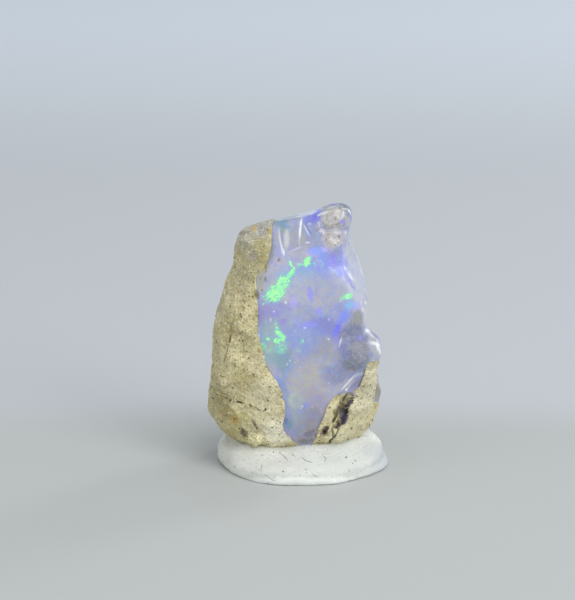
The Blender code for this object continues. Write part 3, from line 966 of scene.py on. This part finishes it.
# Brown and grey grains caught in the skin of opal at the left edge, in the top lumps and at the foot
BROWN = (124, 112, 84)
CAUGHT_GRAINS = (
    ((258, 297.5), (1.8, 3.2), 10, BROWN, 0.7),
    ((262.5, 293), (0.8, 1), 0, BROWN, 0.7),
    ((265.8, 282), (1, 1.8), -20, BROWN, 0.7),
    ((260.6, 281.5), (0.6, 1.4), -30, BROWN, 0.7),
    ((278.8, 263.5), (1.2, 1.8), -20, BROWN, 0.7),
    ((270.9, 241.4), (0.9, 1.4), 0, BROWN, 0.7),
    ((270.1, 252), (0.5, 3), 0, BROWN, 0.7),
    ((268.2, 260.5), (0.9, 1.4), 20, BROWN, 0.7),
    ((266.2, 268), (1.2, 5.5), 0, BROWN, 0.7),
    ((325.4, 243.5), (0.7, 1.4), 0, BROWN, 0.7),
    ((334, 249), (0.8, 0.8), 0, BROWN, 0.7),
    ((327, 216), (1.6, 1), 30, (128, 124, 124), 0.6),
    ((334.5, 222.5), (1.2, 2.2), -20, (132, 128, 128), 0.6),
    ((339, 213.5), (1.4, 1), -30, (124, 122, 128), 0.6),
    ((322.5, 227.5), (1, 1.8), 10, (130, 126, 134), 0.6),
    ((336.5, 228.5), (2.4, 0.8), 15, (136, 132, 134), 0.6),
    ((328, 238.5), (1.4, 1), 0, (140, 134, 128), 0.6),
    ((338, 240.5), (1, 1.6), 0, (134, 128, 128), 0.6),
    ((331, 211.5), (3, 0.8), 15, (224, 224, 226), 0.8),
    ((340.5, 221.5), (0.9, 2.4), -15, (222, 220, 226), 0.8),
    ((330, 227.5), (1.4, 1), 0, (224, 220, 214), 0.7),
    ((335, 236), (1, 1.4), 30, (222, 218, 216), 0.7),
    ((316, 436), (1.6, 2.2), 20, BROWN, 0.7),
    ((311, 440), (1.8, 1.4), 0, BROWN, 0.7),
    ((309, 434), (4, 2.6), 20, (110, 102, 108), 0.55),
    ((304, 441), (5, 1.8), 0, (118, 108, 100), 0.55),
    ((316, 441.5), (2.6, 2), 0, (104, 94, 84), 0.6),
    ((313.5, 431), (1, 1.6), 0, BROWN, 0.7),
)

# Green play of colour: (pixel, half sizes, turn, softness, how bright)
GREEN_FLASHES = (
    ((275.2, 295.6), (6.6, 9.6), -56, 1.0, 1.0),
    ((282, 287.2), (5.4, 9), -40, 1.0, 1.0),
    ((289.8, 277.6), (2, 6), -42, 1.0, 0.95),
    ((290.6, 267), (1.3, 4), 20, 1.0, 0.9),
    ((293.4, 272.3), (1.2, 1.8), 0, 1.0, 0.85),
    ((299, 268.2), (1.8, 1.6), 0, 1.0, 0.9),
    ((304.2, 269.5), (1, 1.4), 0, 1.0, 0.8),
    ((306.6, 265.2), (2.4, 4.8), -38, 1.0, 1.0),
    ((318, 264), (3.4, 1), 0, 1.0, 0.68),
    ((314.4, 267.6), (1, 3), 0, 1.0, 0.68),
    ((321.6, 268.2), (1, 3), 0, 1.0, 0.64),
    ((345.6, 299.6), (5.6, 2.2), 20, 1.0, 0.95),
    ((275.8, 325.8), (1.4, 2), 0, 1.0, 0.8),
    ((278.6, 334.5), (2.5, 5), 24, 1.0, 0.97),
    ((282, 340), (2.8, 4.4), 24, 1.0, 1.0),
    ((277.4, 342.4), (3.6, 2.8), -10, 1.0, 0.95),
    ((268.4, 341), (1.5, 1.5), 0, 1.0, 0.9),
    ((280, 351), (5, 4), 0, 1.0, 0.72),
    ((263.6, 347.6), (2.6, 3.6), 0, 1.0, 0.7),
    ((286, 348.5), (1.6, 2.4), 0, 1.0, 0.7),
    ((269.6, 352.6), (1.6, 1.8), 0, 1.0, 0.7),
    ((263.5, 306), (1, 1.6), 0, 1.0, 0.75),
    ((301.9, 343.4), (1.2, 2.2), 20, 1.0, 0.72),
    ((298, 352), (2, 1.6), 0, 1.0, 0.55),
)
# Where the opal is clearest, as in GREEN_FLASHES
CLEAR_PARTS = (
    ((356, 270), (11, 40), 13, 0.4, 0.3),
    ((336, 216), (20, 18), 0, 0.5, 0.28),
    ((335, 246), (14, 12), 0, 0.5, 0.25),
    ((374, 346), (9, 19), 20, 0.4, 0.3),
    ((263, 274), (7, 22), -20, 0.6, 0.3),
    ((298, 219), (30, 6), 12, 0.6, 0.16),
)


def opal_finish():
    """Clear hydrous silica with milky veils, violet flecks and feathery green flashes, with painted
    highlights and a painted glow.
    """
    finish = Finish("precious_opal")
    picture = finish.picture
    crisp = finish.strayed(picture, 0.3, 0.05)
    veiled = finish.strayed(finish.strayed(picture, 1.3, 1.4), 0.45, 0.22)
    hazed = finish.strayed(finish.strayed(picture, 0.6, 0.3), 0.15, 0.16)
    feathered = finish.strayed(picture, 0.3, 0.35, detail=3)
    ragged = finish.noise(finish.place, 0.26, 4, 0.75)
    behind = finish.behind()

    clouds = finish.noise(finish.place, 1.4, 4, 0.6)
    body = finish.blend(finish.step(clouds, 0.42, 0.62), colour(156, 163, 206), colour(180, 178, 192))
    body = finish.marks(body, veiled, VEILS, 0.7)
    swirl = finish.noise(finish.strayed(finish.place, 0.8, 0.7), 0.5, 4, 0.65)
    body = finish.toned(body, swirl, (0.5, 0.38, 0.2, (124, 138, 214)), (0.54, 0.68, 0.2, (204, 200, 204)))
    fire = finish.strayed(finish.place, 0.4, 0.3)
    tint = finish.blend(finish.pick(fire, FIRE_SIZE, "Blue"), colour(140, 134, 238), colour(136, 182, 226))
    body = finish.blend(finish.step(finish.pick(fire, FIRE_SIZE, "Green"), 0.7, 0.8, 0.25), body, tint)
    body = finish.marks(body, hazed, ZONES, 0.35)

    speckle = finish.noise(finish.place, 0.12, 2, 0.7)
    body = finish.marks(body, feathered, FLECKS, 0.8, ragged.scaled(-5.0, 3.2))
    body = finish.marks(body, hazed, KNOB_HAZE, 0.3)
    frosted = finish.mark(hazed, *FROSTED_KNOB)
    mottle = finish.noise(finish.place, 0.24, 3, 0.7)
    dark, pale = (0.5, 0.34, 1.25, (102, 106, 158)), (0.52, 0.68, 1.05, (176, 168, 160))
    body = finish.toned(body, mottle, dark, pale, within=frosted)
    gnarled = finish.mark(hazed, *GNARLED_LUMPS)
    dark, pale = (0.5, 0.36, 0.8, (134, 130, 144)), (0.52, 0.66, 0.7, (226, 222, 214))
    body = finish.toned(body, mottle, dark, pale, within=gnarled)
    body = finish.toned(body, speckle, (0.5, 0.34, 0.07, (122, 126, 176)), (0.5, 0.66, 0.07, (208, 208, 224)))
    body = finish.blend(finish.dots(0.36, (0.14, 0.06), (0.74, 0.8, 0.8)), body, colour(228, 232, 248))

    caught = finish.noise(finish.place, 0.15).scaled(-4.0, 2.0) + behind
    body = finish.marks(body, crisp, CAUGHT_GRAINS, 0.6, caught)
    # Crisp marks, painted highlights among them
    body = finish.marks(body, crisp, GLINTS, 0.5, behind)

    along = finish.node(
        "ShaderNodeMapping",
        {"vector_type": "TEXTURE"},
        {"Vector": picture, "Rotation": (0, math.radians(45), 0), "Scale": (0.4, 1, 1.5)},
    )
    flash = finish.strongest(feathered, GREEN_FLASHES)
    lively = finish.pick(finish.strayed(finish.place, 0.3, 0.2), 0.15)
    fibres = finish.noise(along, 0.22, 3, 0.75)
    level = flash + fibres * 1.1 + lively * 0.35
    lit = finish.step(flash, 0.0, 0.3)
    haze = finish.step(level, 1.0, 1.5) * lit
    core = finish.step(level, 1.42, 1.72) * lit
    body = finish.blend(haze * 0.55, body, colour(130, 190, 182))
    green = finish.blend(finish.step(level, 1.55, 1.95), colour(126, 216, 152), colour(168, 246, 152))
    body = finish.blend(core * 0.95, body, green)
    # Painted glow: a little of the body colour, and green in the flashes' cores, is given off as light
    glow = finish.blend(core, finish.blend(0.08, BLACK, body), colour(72, 132, 86))

    clear = finish.strongest(veiled, CLEAR_PARTS).at_least(LEAST_CLEAR) * (1 - haze)

    swell = finish.noise(finish.place, 0.5, 2, 0.5)
    relief = finish.bump(swell, 0.012, 0.6)
    milky = finish.shader(
        base_color=body,
        roughness=frosted + MILKY_ROUGHNESS,
        ior=OPAL_IOR,
        emission_color=glow,
        emission_strength=1.0,
        normal=relief,
    )
    glassy = finish.shader(
        base_color=GLASSY_TINT,
        roughness=GLASSY_ROUGHNESS,
        ior=OPAL_IOR,
        transmission_weight=1.0,
        normal=relief,
    )
    absorbed = {"Color": ABSORPTION_COLOUR, "Density": ABSORPTION_PER_METRE}
    absorbing = finish.node("ShaderNodeVolumeAbsorption", {}, absorbed)
    surface = finish.node("ShaderNodeMixShader", {}, {0: clear, 1: milky, 2: glassy})
    return finish.finished(surface, absorbing)


# Stains and pale patches of the rock, as in VEILS, darker streaks down its left edge, and a painted highlight
# on the chip at the foot
ROCK_STAINS_AND_HIGHLIGHT = (
    ((250, 236), (17, 14), 10, (174, 174, 170), 0.75),
    ((262, 253), (9, 11), 0, (172, 162, 112), 0.8),
    ((270, 231), (3, 7), 0, (182, 168, 110), 0.8),
    ((262, 232), (4, 8), 0, (166, 166, 174), 0.7),
    ((254.8, 231.6), (2.2, 3.4), 20, (204, 178, 112), 0.9),
    ((246, 236.5), (4, 2), 30, (142, 138, 132), 0.7),
    ((253, 260), (2.4, 5), 20, (172, 170, 178), 0.7),
    ((262, 222.5), (22, 4.6), 11, (184, 183, 178), 0.85),
    ((270.5, 223), (5, 8), 0, (180, 182, 178), 0.85),
    # Darker down the left edge
    ((222, 400), (10, 34), 0, (150, 142, 90), 0.35),
    ((214, 372), (6, 40), 0, (150, 146, 110), 0.3),
    ((240, 283), (11, 14), 0, (148, 144, 112), 0.6),
    ((252, 272), (9, 8), 0, (152, 149, 120), 0.65),
    ((222, 302), (7, 14), 0, (150, 148, 128), 0.45),
    ((236, 302), (7, 6), 0, (188, 178, 138), 0.5),
    ((235, 319), (9, 8), 0, (166, 157, 106), 0.5),
    ((246, 344), (9, 8), 0, (160, 152, 110), 0.5),
    ((226, 338), (11, 13), 0, (176, 166, 124), 0.5),
    ((250, 378), (10, 12), 0, (158, 148, 100), 0.5),
    ((247, 256), (9, 8), 0, (162, 158, 134), 0.7),
    ((362, 400), (10, 12), 0, (242, 236, 206), 0.6),
    ((276, 430), (12, 12), 0, (244, 239, 212), 0.6),
    ((340, 440), (9, 7), 0, (230, 225, 196), 0.6),
    ((228, 332), (8, 10), 0, (180, 164, 112), 0.5),
    ((236, 392), (10, 8), 0, (196, 182, 142), 0.5),
    ((226, 402), (8, 5), 10, (142, 130, 82), 0.5),
    ((236, 420), (4.6, 4), 0, (206, 174, 94), 0.7),
    ((234.6, 418.8), (3, 3.4), 10, (192, 152, 60), 0.95),
    ((234.6, 419.8), (1.2, 1.2), 0, (150, 112, 40), 0.85),
    ((227, 413), (5, 4), 0, (168, 146, 84), 0.6),
    ((230, 436), (6, 6), 0, (178, 160, 96), 0.6),
    # Painted highlight on the chip that stands out at the foot
    ((256, 440.5), (8, 5), 0, (248, 241, 190), 0.95),
    ((249, 446), (5, 2), 0, (150, 136, 92), 0.6),
    ((244.5, 433), (2.2, 3.2), 30, (118, 110, 108), 0.85),
    ((254.5, 424), (1, 4), 35, (96, 84, 76), 0.8),
    ((265, 405), (14, 24), 0, (226, 219, 188), 0.5),
    ((280, 434), (13, 9), 0, (250, 246, 222), 0.75),
    ((358, 418), (14, 20), 0, (232, 225, 194), 0.5),
    ((370, 385), (7, 18), 0, (234, 228, 200), 0.7),
    ((256, 366), (8, 8), 0, (232, 220, 190), 0.4),
    ((258, 298), (2.6, 4.5), 10, (120, 104, 66), 0.8),
)
# The open crack's dark inside, partly dark mineral and partly painted shade in the hollow, its pale rims,
# hairline cracks and dark grains, as in VEILS
CAVITY_MARKS = (
    ((331, 411), (3.4, 13), -38, (214, 207, 172), 0.7),
    ((326.5, 419), (2.6, 6), -30, (186, 180, 150), 0.6),
    ((344, 403.4), (3.2, 4), -20, (146, 136, 108), 0.8),
    ((346, 396), (6, 3.4), -20, (206, 198, 160), 0.7),
    # The crack's dark inside: dark mineral with painted shade in the hollow
    ((343.6, 398.2), (0.9, 3.6), -32, (92, 80, 84), 0.85),
    ((349.4, 402.6), (2.4, 4), -34, (66, 58, 72), 0.95),
    ((346.6, 406.4), (2, 1.6), -10, (84, 76, 84), 0.9),
    ((350.8, 398.6), (3.2, 0.9), 5, (84, 80, 58), 0.9),
    ((343.2, 415.4), (3.9, 8.6), -4, (88, 84, 104), 0.97),
    ((345.6, 411.5), (1.6, 5.2), -6, (48, 42, 60), 0.95),
    ((343.6, 418.6), (2.2, 3.8), -10, (52, 40, 78), 0.95),
    ((340.4, 412.4), (1.4, 4.6), 0, (122, 122, 118), 0.85),
    ((342, 422.6), (1.8, 2.2), -30, (50, 42, 62), 0.9),
    ((346, 408.4), (2.4, 0.7), 14, (176, 172, 168), 0.8),
    ((337.8, 407.4), (2.2, 1.6), -10, (168, 148, 144), 0.8),
    ((336.6, 412), (1.2, 5.4), -14, (112, 98, 92), 0.9),
    ((333.8, 419.6), (1.1, 3.8), -34, (104, 88, 80), 0.9),
    ((337.2, 419.4), (1.4, 3.6), -16, (196, 190, 152), 0.8),
    ((337.6, 425.8), (1.8, 3.4), -22, (66, 62, 76), 0.95),
    ((336, 428.2), (2.6, 1), -20, (72, 66, 74), 0.85),
    ((352, 394.6), (2.6, 2.6), -40, (160, 152, 168), 0.8),
    ((324.2, 431.4), (2, 5.4), -43, (136, 120, 122), 0.9),
    ((326.8, 428.8), (1.4, 2.2), -30, (88, 76, 90), 0.95),
    ((324.6, 432.2), (1.6, 2), -40, (100, 88, 94), 0.9),
    ((334.8, 430.4), (2.4, 1.6), 20, (216, 210, 180), 0.8),
    ((329.4, 436.4), (3.4, 4.6), -30, (212, 206, 172), 0.7),
    ((338, 395.3), (1, 0.8), 0, (92, 88, 84), 0.85),
    ((329.2, 408.2), (1.3, 0.7), 35, (104, 92, 88), 0.8),
    ((336.6, 432.4), (0.7, 3), -22, (84, 76, 74), 0.9),
    ((334.2, 436.4), (0.7, 3.2), -42, (74, 66, 64), 0.95),
    ((331, 439.8), (0.8, 2.6), -50, (74, 66, 64), 0.95),
    ((330.2, 443.6), (0.6, 3), 6, (96, 90, 86), 0.85),
    ((319.8, 444.6), (1.1, 1.2), 40, (60, 50, 48), 0.95),
    ((230.9, 340), (0.9, 5), -15, (88, 76, 54), 0.9),
    ((227.4, 355), (0.5, 8.5), -14, (120, 106, 78), 0.75),
    ((220.5, 386.5), (0.6, 5), 58, (132, 118, 84), 0.6),
    ((228.5, 387), (0.7, 4), -58, (132, 118, 84), 0.6),
    ((240.6, 402.9), (1, 3.2), 68, (56, 50, 34), 0.95),
    ((231.3, 400.6), (1.3, 1.1), 0, (70, 62, 44), 0.95),
    ((227, 398.9), (0.8, 2.2), 68, (96, 84, 58), 0.8),
    ((222, 396.8), (0.5, 3), 66, (116, 102, 72), 0.7),
    ((251.3, 406.3), (1.3, 1.7), 40, (104, 94, 52), 0.85),
    ((257.4, 408.8), (0.6, 4.2), 62, (112, 98, 66), 0.7),
    ((265.9, 410), (1.1, 1.6), -30, (52, 42, 36), 0.95),
    ((257.3, 428.4), (0.9, 0.9), 0, (88, 76, 62), 0.9),
    ((223.4, 377.9), (1, 0.9), 0, (84, 74, 58), 0.9),
)
# Painted light and shade on the putty, as in VEILS: shade at its left, on its right side, across the middle
# of its front and in a line under the stone's foot; light at its lower left and along the bottom of its front
PUTTY_PAINTED_LIGHT_AND_SHADE = (
    # Painted shade at the left
    ((224, 452), (9, 16), 0, (190, 191, 181), 0.45),
    ((244, 461), (16, 12), 0, (190, 191, 184), 0.4),
    # Painted shadow in a line under the stone's foot
    ((262, 450), (30, 2), 0, (196, 196, 188), 0.5),
    # Painted shade on the right side and edge
    ((356, 457), (26, 13), 0, (192, 196, 194), 0.6),
    ((372, 450), (9, 6), 0, (186, 191, 191), 0.7),
    ((383, 459), (7, 15), -12, (180, 187, 190), 0.9),
    ((376, 469), (8, 5), 30, (186, 191, 192), 0.7),
    # Painted shade across the middle of the front
    ((300, 467), (56, 7), 0, (206, 208, 202), 0.5),
    # Painted light at the lower left and along the bottom of the front
    ((238, 471), (10, 7), 0, (232, 234, 228), 0.5),
    ((300, 483), (70, 5), 0, (252, 254, 250), 0.95),
)


def rock_finish():
    """Tan altered volcanic rock: fine grain, dark specks, hairline cracks, a few stains, an open crack whose
    dark inside is partly painted shade, and a painted highlight on a chip at the foot.
    """
    finish = Finish("tan_rock")
    place = finish.place
    broad = finish.noise(place, 3.0, 4, 0.6)
    fine = finish.noise(place, 0.45, 4, 0.65)
    grain = finish.noise(place, 0.11, 2, 0.7)
    tan = finish.blend(finish.step(broad, 0.35, 0.65), colour(202, 191, 132), colour(230, 219, 172))
    tan = finish.toned(tan, fine, (0.5, 0.7, 0.62, (232, 224, 190)), (0.5, 0.32, 0.6, (158, 145, 92)))
    behind = finish.behind()
    stain_and_highlight_place = finish.strayed(finish.strayed(finish.picture, 0.5, 0.4, 3), 0.15, 0.12)
    # Stains, with a painted highlight on the chip at the foot
    tan = finish.marks(tan, stain_and_highlight_place, ROCK_STAINS_AND_HIGHLIGHT, 0.6, behind)
    tan = finish.toned(tan, grain, (0.5, 0.66, 0.38, (240, 233, 206)), (0.48, 0.32, 0.33, (120, 106, 62)))
    tint = finish.noise(finish.vector_maths("ADD", place, (7.0, 3.0, 5.0)), 0.32, 3, 0.6)
    tan = finish.blend(finish.step(tint, 0.58, 0.7) * 0.35, tan, colour(180, 142, 92))

    tan = finish.blend(finish.dots(0.22, (0.5, 0.3), (0.6, 0.75)) * 0.45, tan, colour(232, 226, 198))
    specks = finish.dots(0.3, (0.26, 0.12), (0.66, 0.8))
    tan = finish.blend(specks * 0.48, tan, colour(98, 84, 62))
    tan = finish.blend(finish.dots(0.16, (0.3, 0.15), (0.86, 0.9)) * 0.45, tan, colour(92, 82, 66))

    cracked = finish.strayed(finish.picture, 0.3, 0.16, 4)
    chipped = finish.noise(place, 0.12, 3, 0.8).scaled(-3.0, 1.5) + behind
    # The crack's marks, with painted shade inside it
    tan = finish.marks(tan, cracked, CAVITY_MARKS, 0.3, chipped)

    bright = finish.node("ShaderNodeRGBToBW", {}, {0: tan})
    rough = finish.bump(bright, 0.18, 0.7)
    rough = finish.bump(fine, 0.1, 0.8, rough)
    rough = finish.bump(grain, 0.055, 0.9, rough)
    rough = finish.bump(1 - specks, 0.05, 0.6, rough)
    return finish.finished(finish.shader(base_color=tan, roughness=0.88, normal=rough))


def grain_finish():
    """Dark brown mineral grains."""
    finish = Finish("dark_grain")
    tone = finish.blend(finish.noise(finish.place, 0.3), colour(66, 54, 42), colour(112, 92, 66))
    return finish.finished(finish.shader(base_color=tone, roughness=0.7))


def putty_finish():
    """Matt white putty with finger ridges, grit and dark dots, and painted light and shade: darker at the
    left, on the right and under the stone's foot, lighter along the bottom of the front.
    """
    finish = Finish("white_putty")
    place = finish.place
    broad = finish.noise(place, 2.4, 3, 0.6)
    fine = finish.noise(place, 0.3, 4, 0.7)
    white = finish.blend(finish.step(broad, 0.35, 0.7), colour(206, 207, 201), colour(223, 227, 222))
    white = finish.toned(white, fine, (0.52, 0.7, 0.8, (180, 181, 175)), (0.48, 0.3, 0.5, (232, 235, 230)))
    grit = finish.noise(place, 0.1, 2, 0.7)
    white = finish.toned(white, grit, (0.5, 0.3, 0.4, (176, 176, 170)), (0.5, 0.7, 0.5, (232, 235, 231)))
    painted_light_place = finish.strayed(finish.picture, 0.4, 0.3, 3)
    # Painted light and shade on the putty
    white = finish.marks(white, painted_light_place, PUTTY_PAINTED_LIGHT_AND_SHADE, 0.7, finish.behind())
    white = finish.blend(finish.dots(0.34, (0.16, 0.08), (0.74, 0.82, 0.7)), white, colour(118, 116, 116))
    ridges = finish.node(
        "ShaderNodeTexWave",
        {"wave_type": "RINGS", "rings_direction": "Z"},
        {"Vector": finish.strayed(place, 2.0, 1.2), "Scale": 1.1, "Distortion": 2.0, "Detail": 2.0},
        out="Fac",
    )
    rough = finish.bump(fine, 0.05, 0.7)
    rough = finish.bump(ridges * finish.step(broad, 0.4, 0.6), 0.025, 0.5, rough)
    return finish.finished(finish.shader(base_color=white, roughness=0.8, normal=rough))


def dust_finish():
    """Dark lint and grit."""
    finish = Finish("dust")
    tone = finish.blend(finish.noise(finish.place, 0.5), colour(96, 92, 92), colour(150, 144, 142))
    return finish.finished(finish.shader(base_color=tone, roughness=0.9))


def floor_finish():
    """Pale grey near the stone, a little lighter far behind it."""
    finish = Finish("pale_floor")
    deep = finish.depth()
    tone = finish.blend(finish.step(deep, 4, 14), colour(180, 184, 183), colour(188, 192, 197))
    tone = finish.blend(finish.step(deep, 65, 125), tone, colour(206, 214, 223))
    return finish.finished(finish.shader(base_color=tone, roughness=0.6))


def camera_place():
    """The camera's directions and place in the row frame."""
    forward = Vector((0, math.cos(CAMERA_PITCH), -math.sin(CAMERA_PITCH)))
    up = Vector((0, math.sin(CAMERA_PITCH), math.cos(CAMERA_PITCH)))
    right = Vector((1, 0, 0))
    off_right = (FOOT_PIXEL[0] - PICTURE_SIZE[0] / 2) / FOCAL_PIXELS * CAMERA_AWAY
    off_down = (FOOT_PIXEL[1] - PICTURE_SIZE[1] / 2) / FOCAL_PIXELS * CAMERA_AWAY
    return right, up, forward, -CAMERA_AWAY * forward - off_right * right + off_down * up


def sight_line(u, v):
    """The start and direction of the line of sight through a pixel."""
    right, up, forward, place = camera_place()
    across = (u - PICTURE_SIZE[0] / 2) / FOCAL_PIXELS
    down = (v - PICTURE_SIZE[1] / 2) / FOCAL_PIXELS
    return place, (forward + across * right - down * up).normalized()


def add_hair(shape, line):
    """A fine tapered hair along a line of places."""
    curve = [line[0]]
    for start, end in zip(line, line[1:]):
        curve += [start.lerp(end, (k + 1) / HAIR_STEPS) for k in range(HAIR_STEPS)]
    rings = []
    for k, place in enumerate(curve):
        ahead = (curve[min(k + 1, len(curve) - 1)] - curve[max(k - 1, 0)]).normalized()
        side = ahead.cross(Vector((0, 0, 1))).normalized()
        over = side.cross(ahead)
        taper = HAIR_TIP + (1 - HAIR_TIP) * math.sin(math.pi * (k + 0.5) / len(curve))
        thin = HAIR_RADIUS * MM * taper
        turns = [2 * math.pi * j / HAIR_SIDES for j in range(HAIR_SIDES)]
        ring = [shape.verts.new(place + thin * (side * math.cos(a) + over * math.sin(a))) for a in turns]
        rings.append(ring)
    for below, above in zip(rings, rings[1:]):
        for j in range(HAIR_SIDES):
            after = (j + 1) % HAIR_SIDES
            shape.faces.new((below[j], below[after], above[after], above[j]))
    shape.faces.new(rings[0][::-1])
    shape.faces.new(rings[-1])


def add_speck(shape, place, normal, radius):
    """A small flattened grain of grit."""
    turn = normal.to_track_quat("Z", "Y").to_matrix().to_4x4()
    size = Matrix.Diagonal((*(radius * MM * part for part in SPECK_SHAPE), 1))
    lie = Matrix.Translation(place) @ turn @ size
    bmesh.ops.create_icosphere(shape, subdivisions=2, radius=1.0, matrix=lie)


def dust_shapes(putty):
    """Hairs and grit that lie on the putty where the photograph shows them, as one mesh."""
    tree = BVHTree.FromObject(putty, bpy.context.evaluated_depsgraph_get())
    shape = bmesh.new()
    for run in HAIRS:
        hits = [tree.ray_cast(*sight_line(*pixel)) for pixel in run]
        line = [place + normal * HAIR_RADIUS * 0.5 * MM for place, normal, _, _ in hits if place]
        if len(line) > 1:
            add_hair(shape, line)
    for pixel, radius in SPECKS:
        place, normal, _, _ = tree.ray_cast(*sight_line(*pixel))
        if place:
            add_speck(shape, place, normal, radius)
    bmesh.ops.recalc_face_normals(shape, faces=shape.faces[:])
    return meshed("putty_dust", shape)


def grain_nodes():
    """Geometry nodes that scatter small blunt grains over a surface."""
    inputs = (
        ("Ground", "Geometry"), ("Density", "Float"), ("Smallest", "Float"), ("Largest", "Float"),
        ("Seed", "Int"), ("Material", "Material"),
    )
    nodes, given, tree = node_group("scattered_grains", "GeometryNodeTree", inputs, (("Grains", "Geometry"),))
    add = nodes.node
    spread = {"Mesh": given["Ground"], "Density": given["Density"], "Seed": given["Seed"]}
    points = add("GeometryNodeDistributePointsOnFaces", {"distribute_method": "RANDOM"}, spread, "Points")
    between = {2: given["Smallest"], 3: given["Largest"], "Seed": given["Seed"]}
    size = add("FunctionNodeRandomValue", {"data_type": "FLOAT"}, between, 1)
    turned = {1: GRAIN_TURN, "Seed": GRAIN_TURN_SEED}
    turn = add("FunctionNodeRandomValue", {"data_type": "FLOAT_VECTOR"}, turned)
    ball = add("GeometryNodeMeshIcoSphere", {}, {"Radius": 1.0, "Subdivisions": 2}, "Mesh")
    blunt = add("GeometryNodeTransform", {}, {"Geometry": ball, "Scale": GRAIN_SHAPE}, "Geometry")
    copies = {"Points": points, "Instance": blunt, "Rotation": turn, "Scale": size}
    grains = add("GeometryNodeInstanceOnPoints", {}, copies, "Instances")
    real = add("GeometryNodeRealizeInstances", {}, {"Geometry": grains}, "Geometry")
    dressed = {"Geometry": real, "Material": given["Material"]}
    give_back(tree, Grains=add("GeometryNodeSetMaterial", {}, dressed, "Geometry"))
    return tree


def scattered(name, ground, material):
    """Grains on the ground's surface as one new object."""
    holder = placed(name + "_ground", ground.data.copy())
    modifier = holder.modifiers.new("grains", "NODES")
    modifier.node_group = grain_nodes()
    values = {
        "Density": GRAIN_DENSITY / MM**2,
        "Smallest": GRAIN_RADII[0] * MM,
        "Largest": GRAIN_RADII[1] * MM,
        "Seed": GRAIN_SEED,
        "Material": material,
    }
    for item in modifier.node_group.interface.items_tree:
        if item.name in values:
            modifier[item.identifier] = values[item.name]
    mesh = plain_mesh(name, holder)
    mesh.shade_smooth()
    bpy.data.objects.remove(holder, do_unlink=True)
    return placed(name, mesh)


def add_piece(piece, material, node=None):
    """Dress a piece and hand it to the frame."""
    piece.data.materials.clear()
    piece.data.materials.append(material)
    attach(piece, "root")
    if node:
        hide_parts(node)


def add_camera():
    """The photograph's camera."""
    right, up, forward, place = camera_place()
    camera = placed("camera", bpy.data.cameras.new("camera"))
    camera.data.sensor_width = SENSOR_SIZE
    camera.data.lens = FOCAL_PIXELS * SENSOR_SIZE / max(PICTURE_SIZE)
    camera.data.clip_start, camera.data.clip_end = CLIP_RANGE
    camera.matrix_world = Matrix.Translation(place) @ Matrix((right, up, -forward)).transposed().to_4x4()
    bpy.context.scene.camera = camera


def add_floor():
    """A floor that curves up into a backdrop."""
    shape = bmesh.new()
    profile = [(FLOOR_FRONT, 0.0), (FLOOR_REACH, 0.0)]
    for k in range(1, FLOOR_BEND_STEPS + 1):
        a = math.radians(90 * k / FLOOR_BEND_STEPS)
        profile.append((FLOOR_REACH + FLOOR_BEND * math.sin(a), FLOOR_BEND * (1 - math.cos(a))))
    profile.append((FLOOR_REACH + FLOOR_BEND, BACKDROP_HEIGHT))
    sides = (-FLOOR_HALF_WIDTH, FLOOR_HALF_WIDTH)
    rows = [[shape.verts.new((x, y, z - FLOOR_DROP)) for x in sides] for y, z in profile]
    for below, above in zip(rows, rows[1:]):
        shape.faces.new((below[0], below[1], above[1], above[0]))
    floor = meshed("floor", shape)
    floor.data.materials.append(floor_finish())


def add_light(name, place, size, watts):
    """A soft box that faces the stone."""
    light = bpy.data.lights.new(name, "AREA")
    light.shape = "RECTANGLE"
    light.size, light.size_y = size
    light.energy = watts
    thing = placed(name, light)
    thing.location = place
    thing.rotation_euler = (Vector(LIGHTS_AIM) - Vector(place)).to_track_quat("-Z", "Y").to_euler()


def add_world():
    """Even, pale light from all round, as in a light tent."""
    world = bpy.data.worlds.new("soft_tent")
    world.use_nodes = True
    background = world.node_tree.nodes["Background"]
    background.inputs["Color"].default_value = TENT_COLOUR
    background.inputs["Strength"].default_value = TENT_STRENGTH
    bpy.context.scene.world = world


def main():
    """Set up the studio, make and dress each piece, and note the sizes."""
    bpy.context.scene.view_settings.view_transform = "Standard"
    add_camera()
    add_world()
    for light in LIGHTS:
        add_light(*light)
    add_floor()

    rough, smooth = object_from(stone_block(True), "rock"), object_from(stone_block(False), "opal")
    rock = joined("rock_cradle", rough, seam_with_lobe(-SEAM_BITE), "DIFFERENCE")
    opal = joined("opal_tooth", smooth, seam_with_lobe(0.0), "INTERSECT")
    opal.data.set_sharp_from_angle(angle=OPAL_CRISP)
    rock.data.set_sharp_from_angle(angle=ROCK_CRISP)
    putty = object_from(putty_block(), "putty_base")
    dust = dust_shapes(putty)
    dark = grain_finish()
    grains = scattered("rock_grains", rock, dark)
    add_piece(rock, rock_finish(), "host_rock")
    add_piece(opal, opal_finish(), "precious_opal")
    add_piece(putty, putty_finish(), "putty_disc")
    add_piece(dust, dust_finish())
    add_piece(grains, dark)
    for piece in (rock, opal, putty, dust, grains):
        print(piece.name, sum(len(face.vertices) - 2 for face in piece.data.polygons), "triangles")


main()
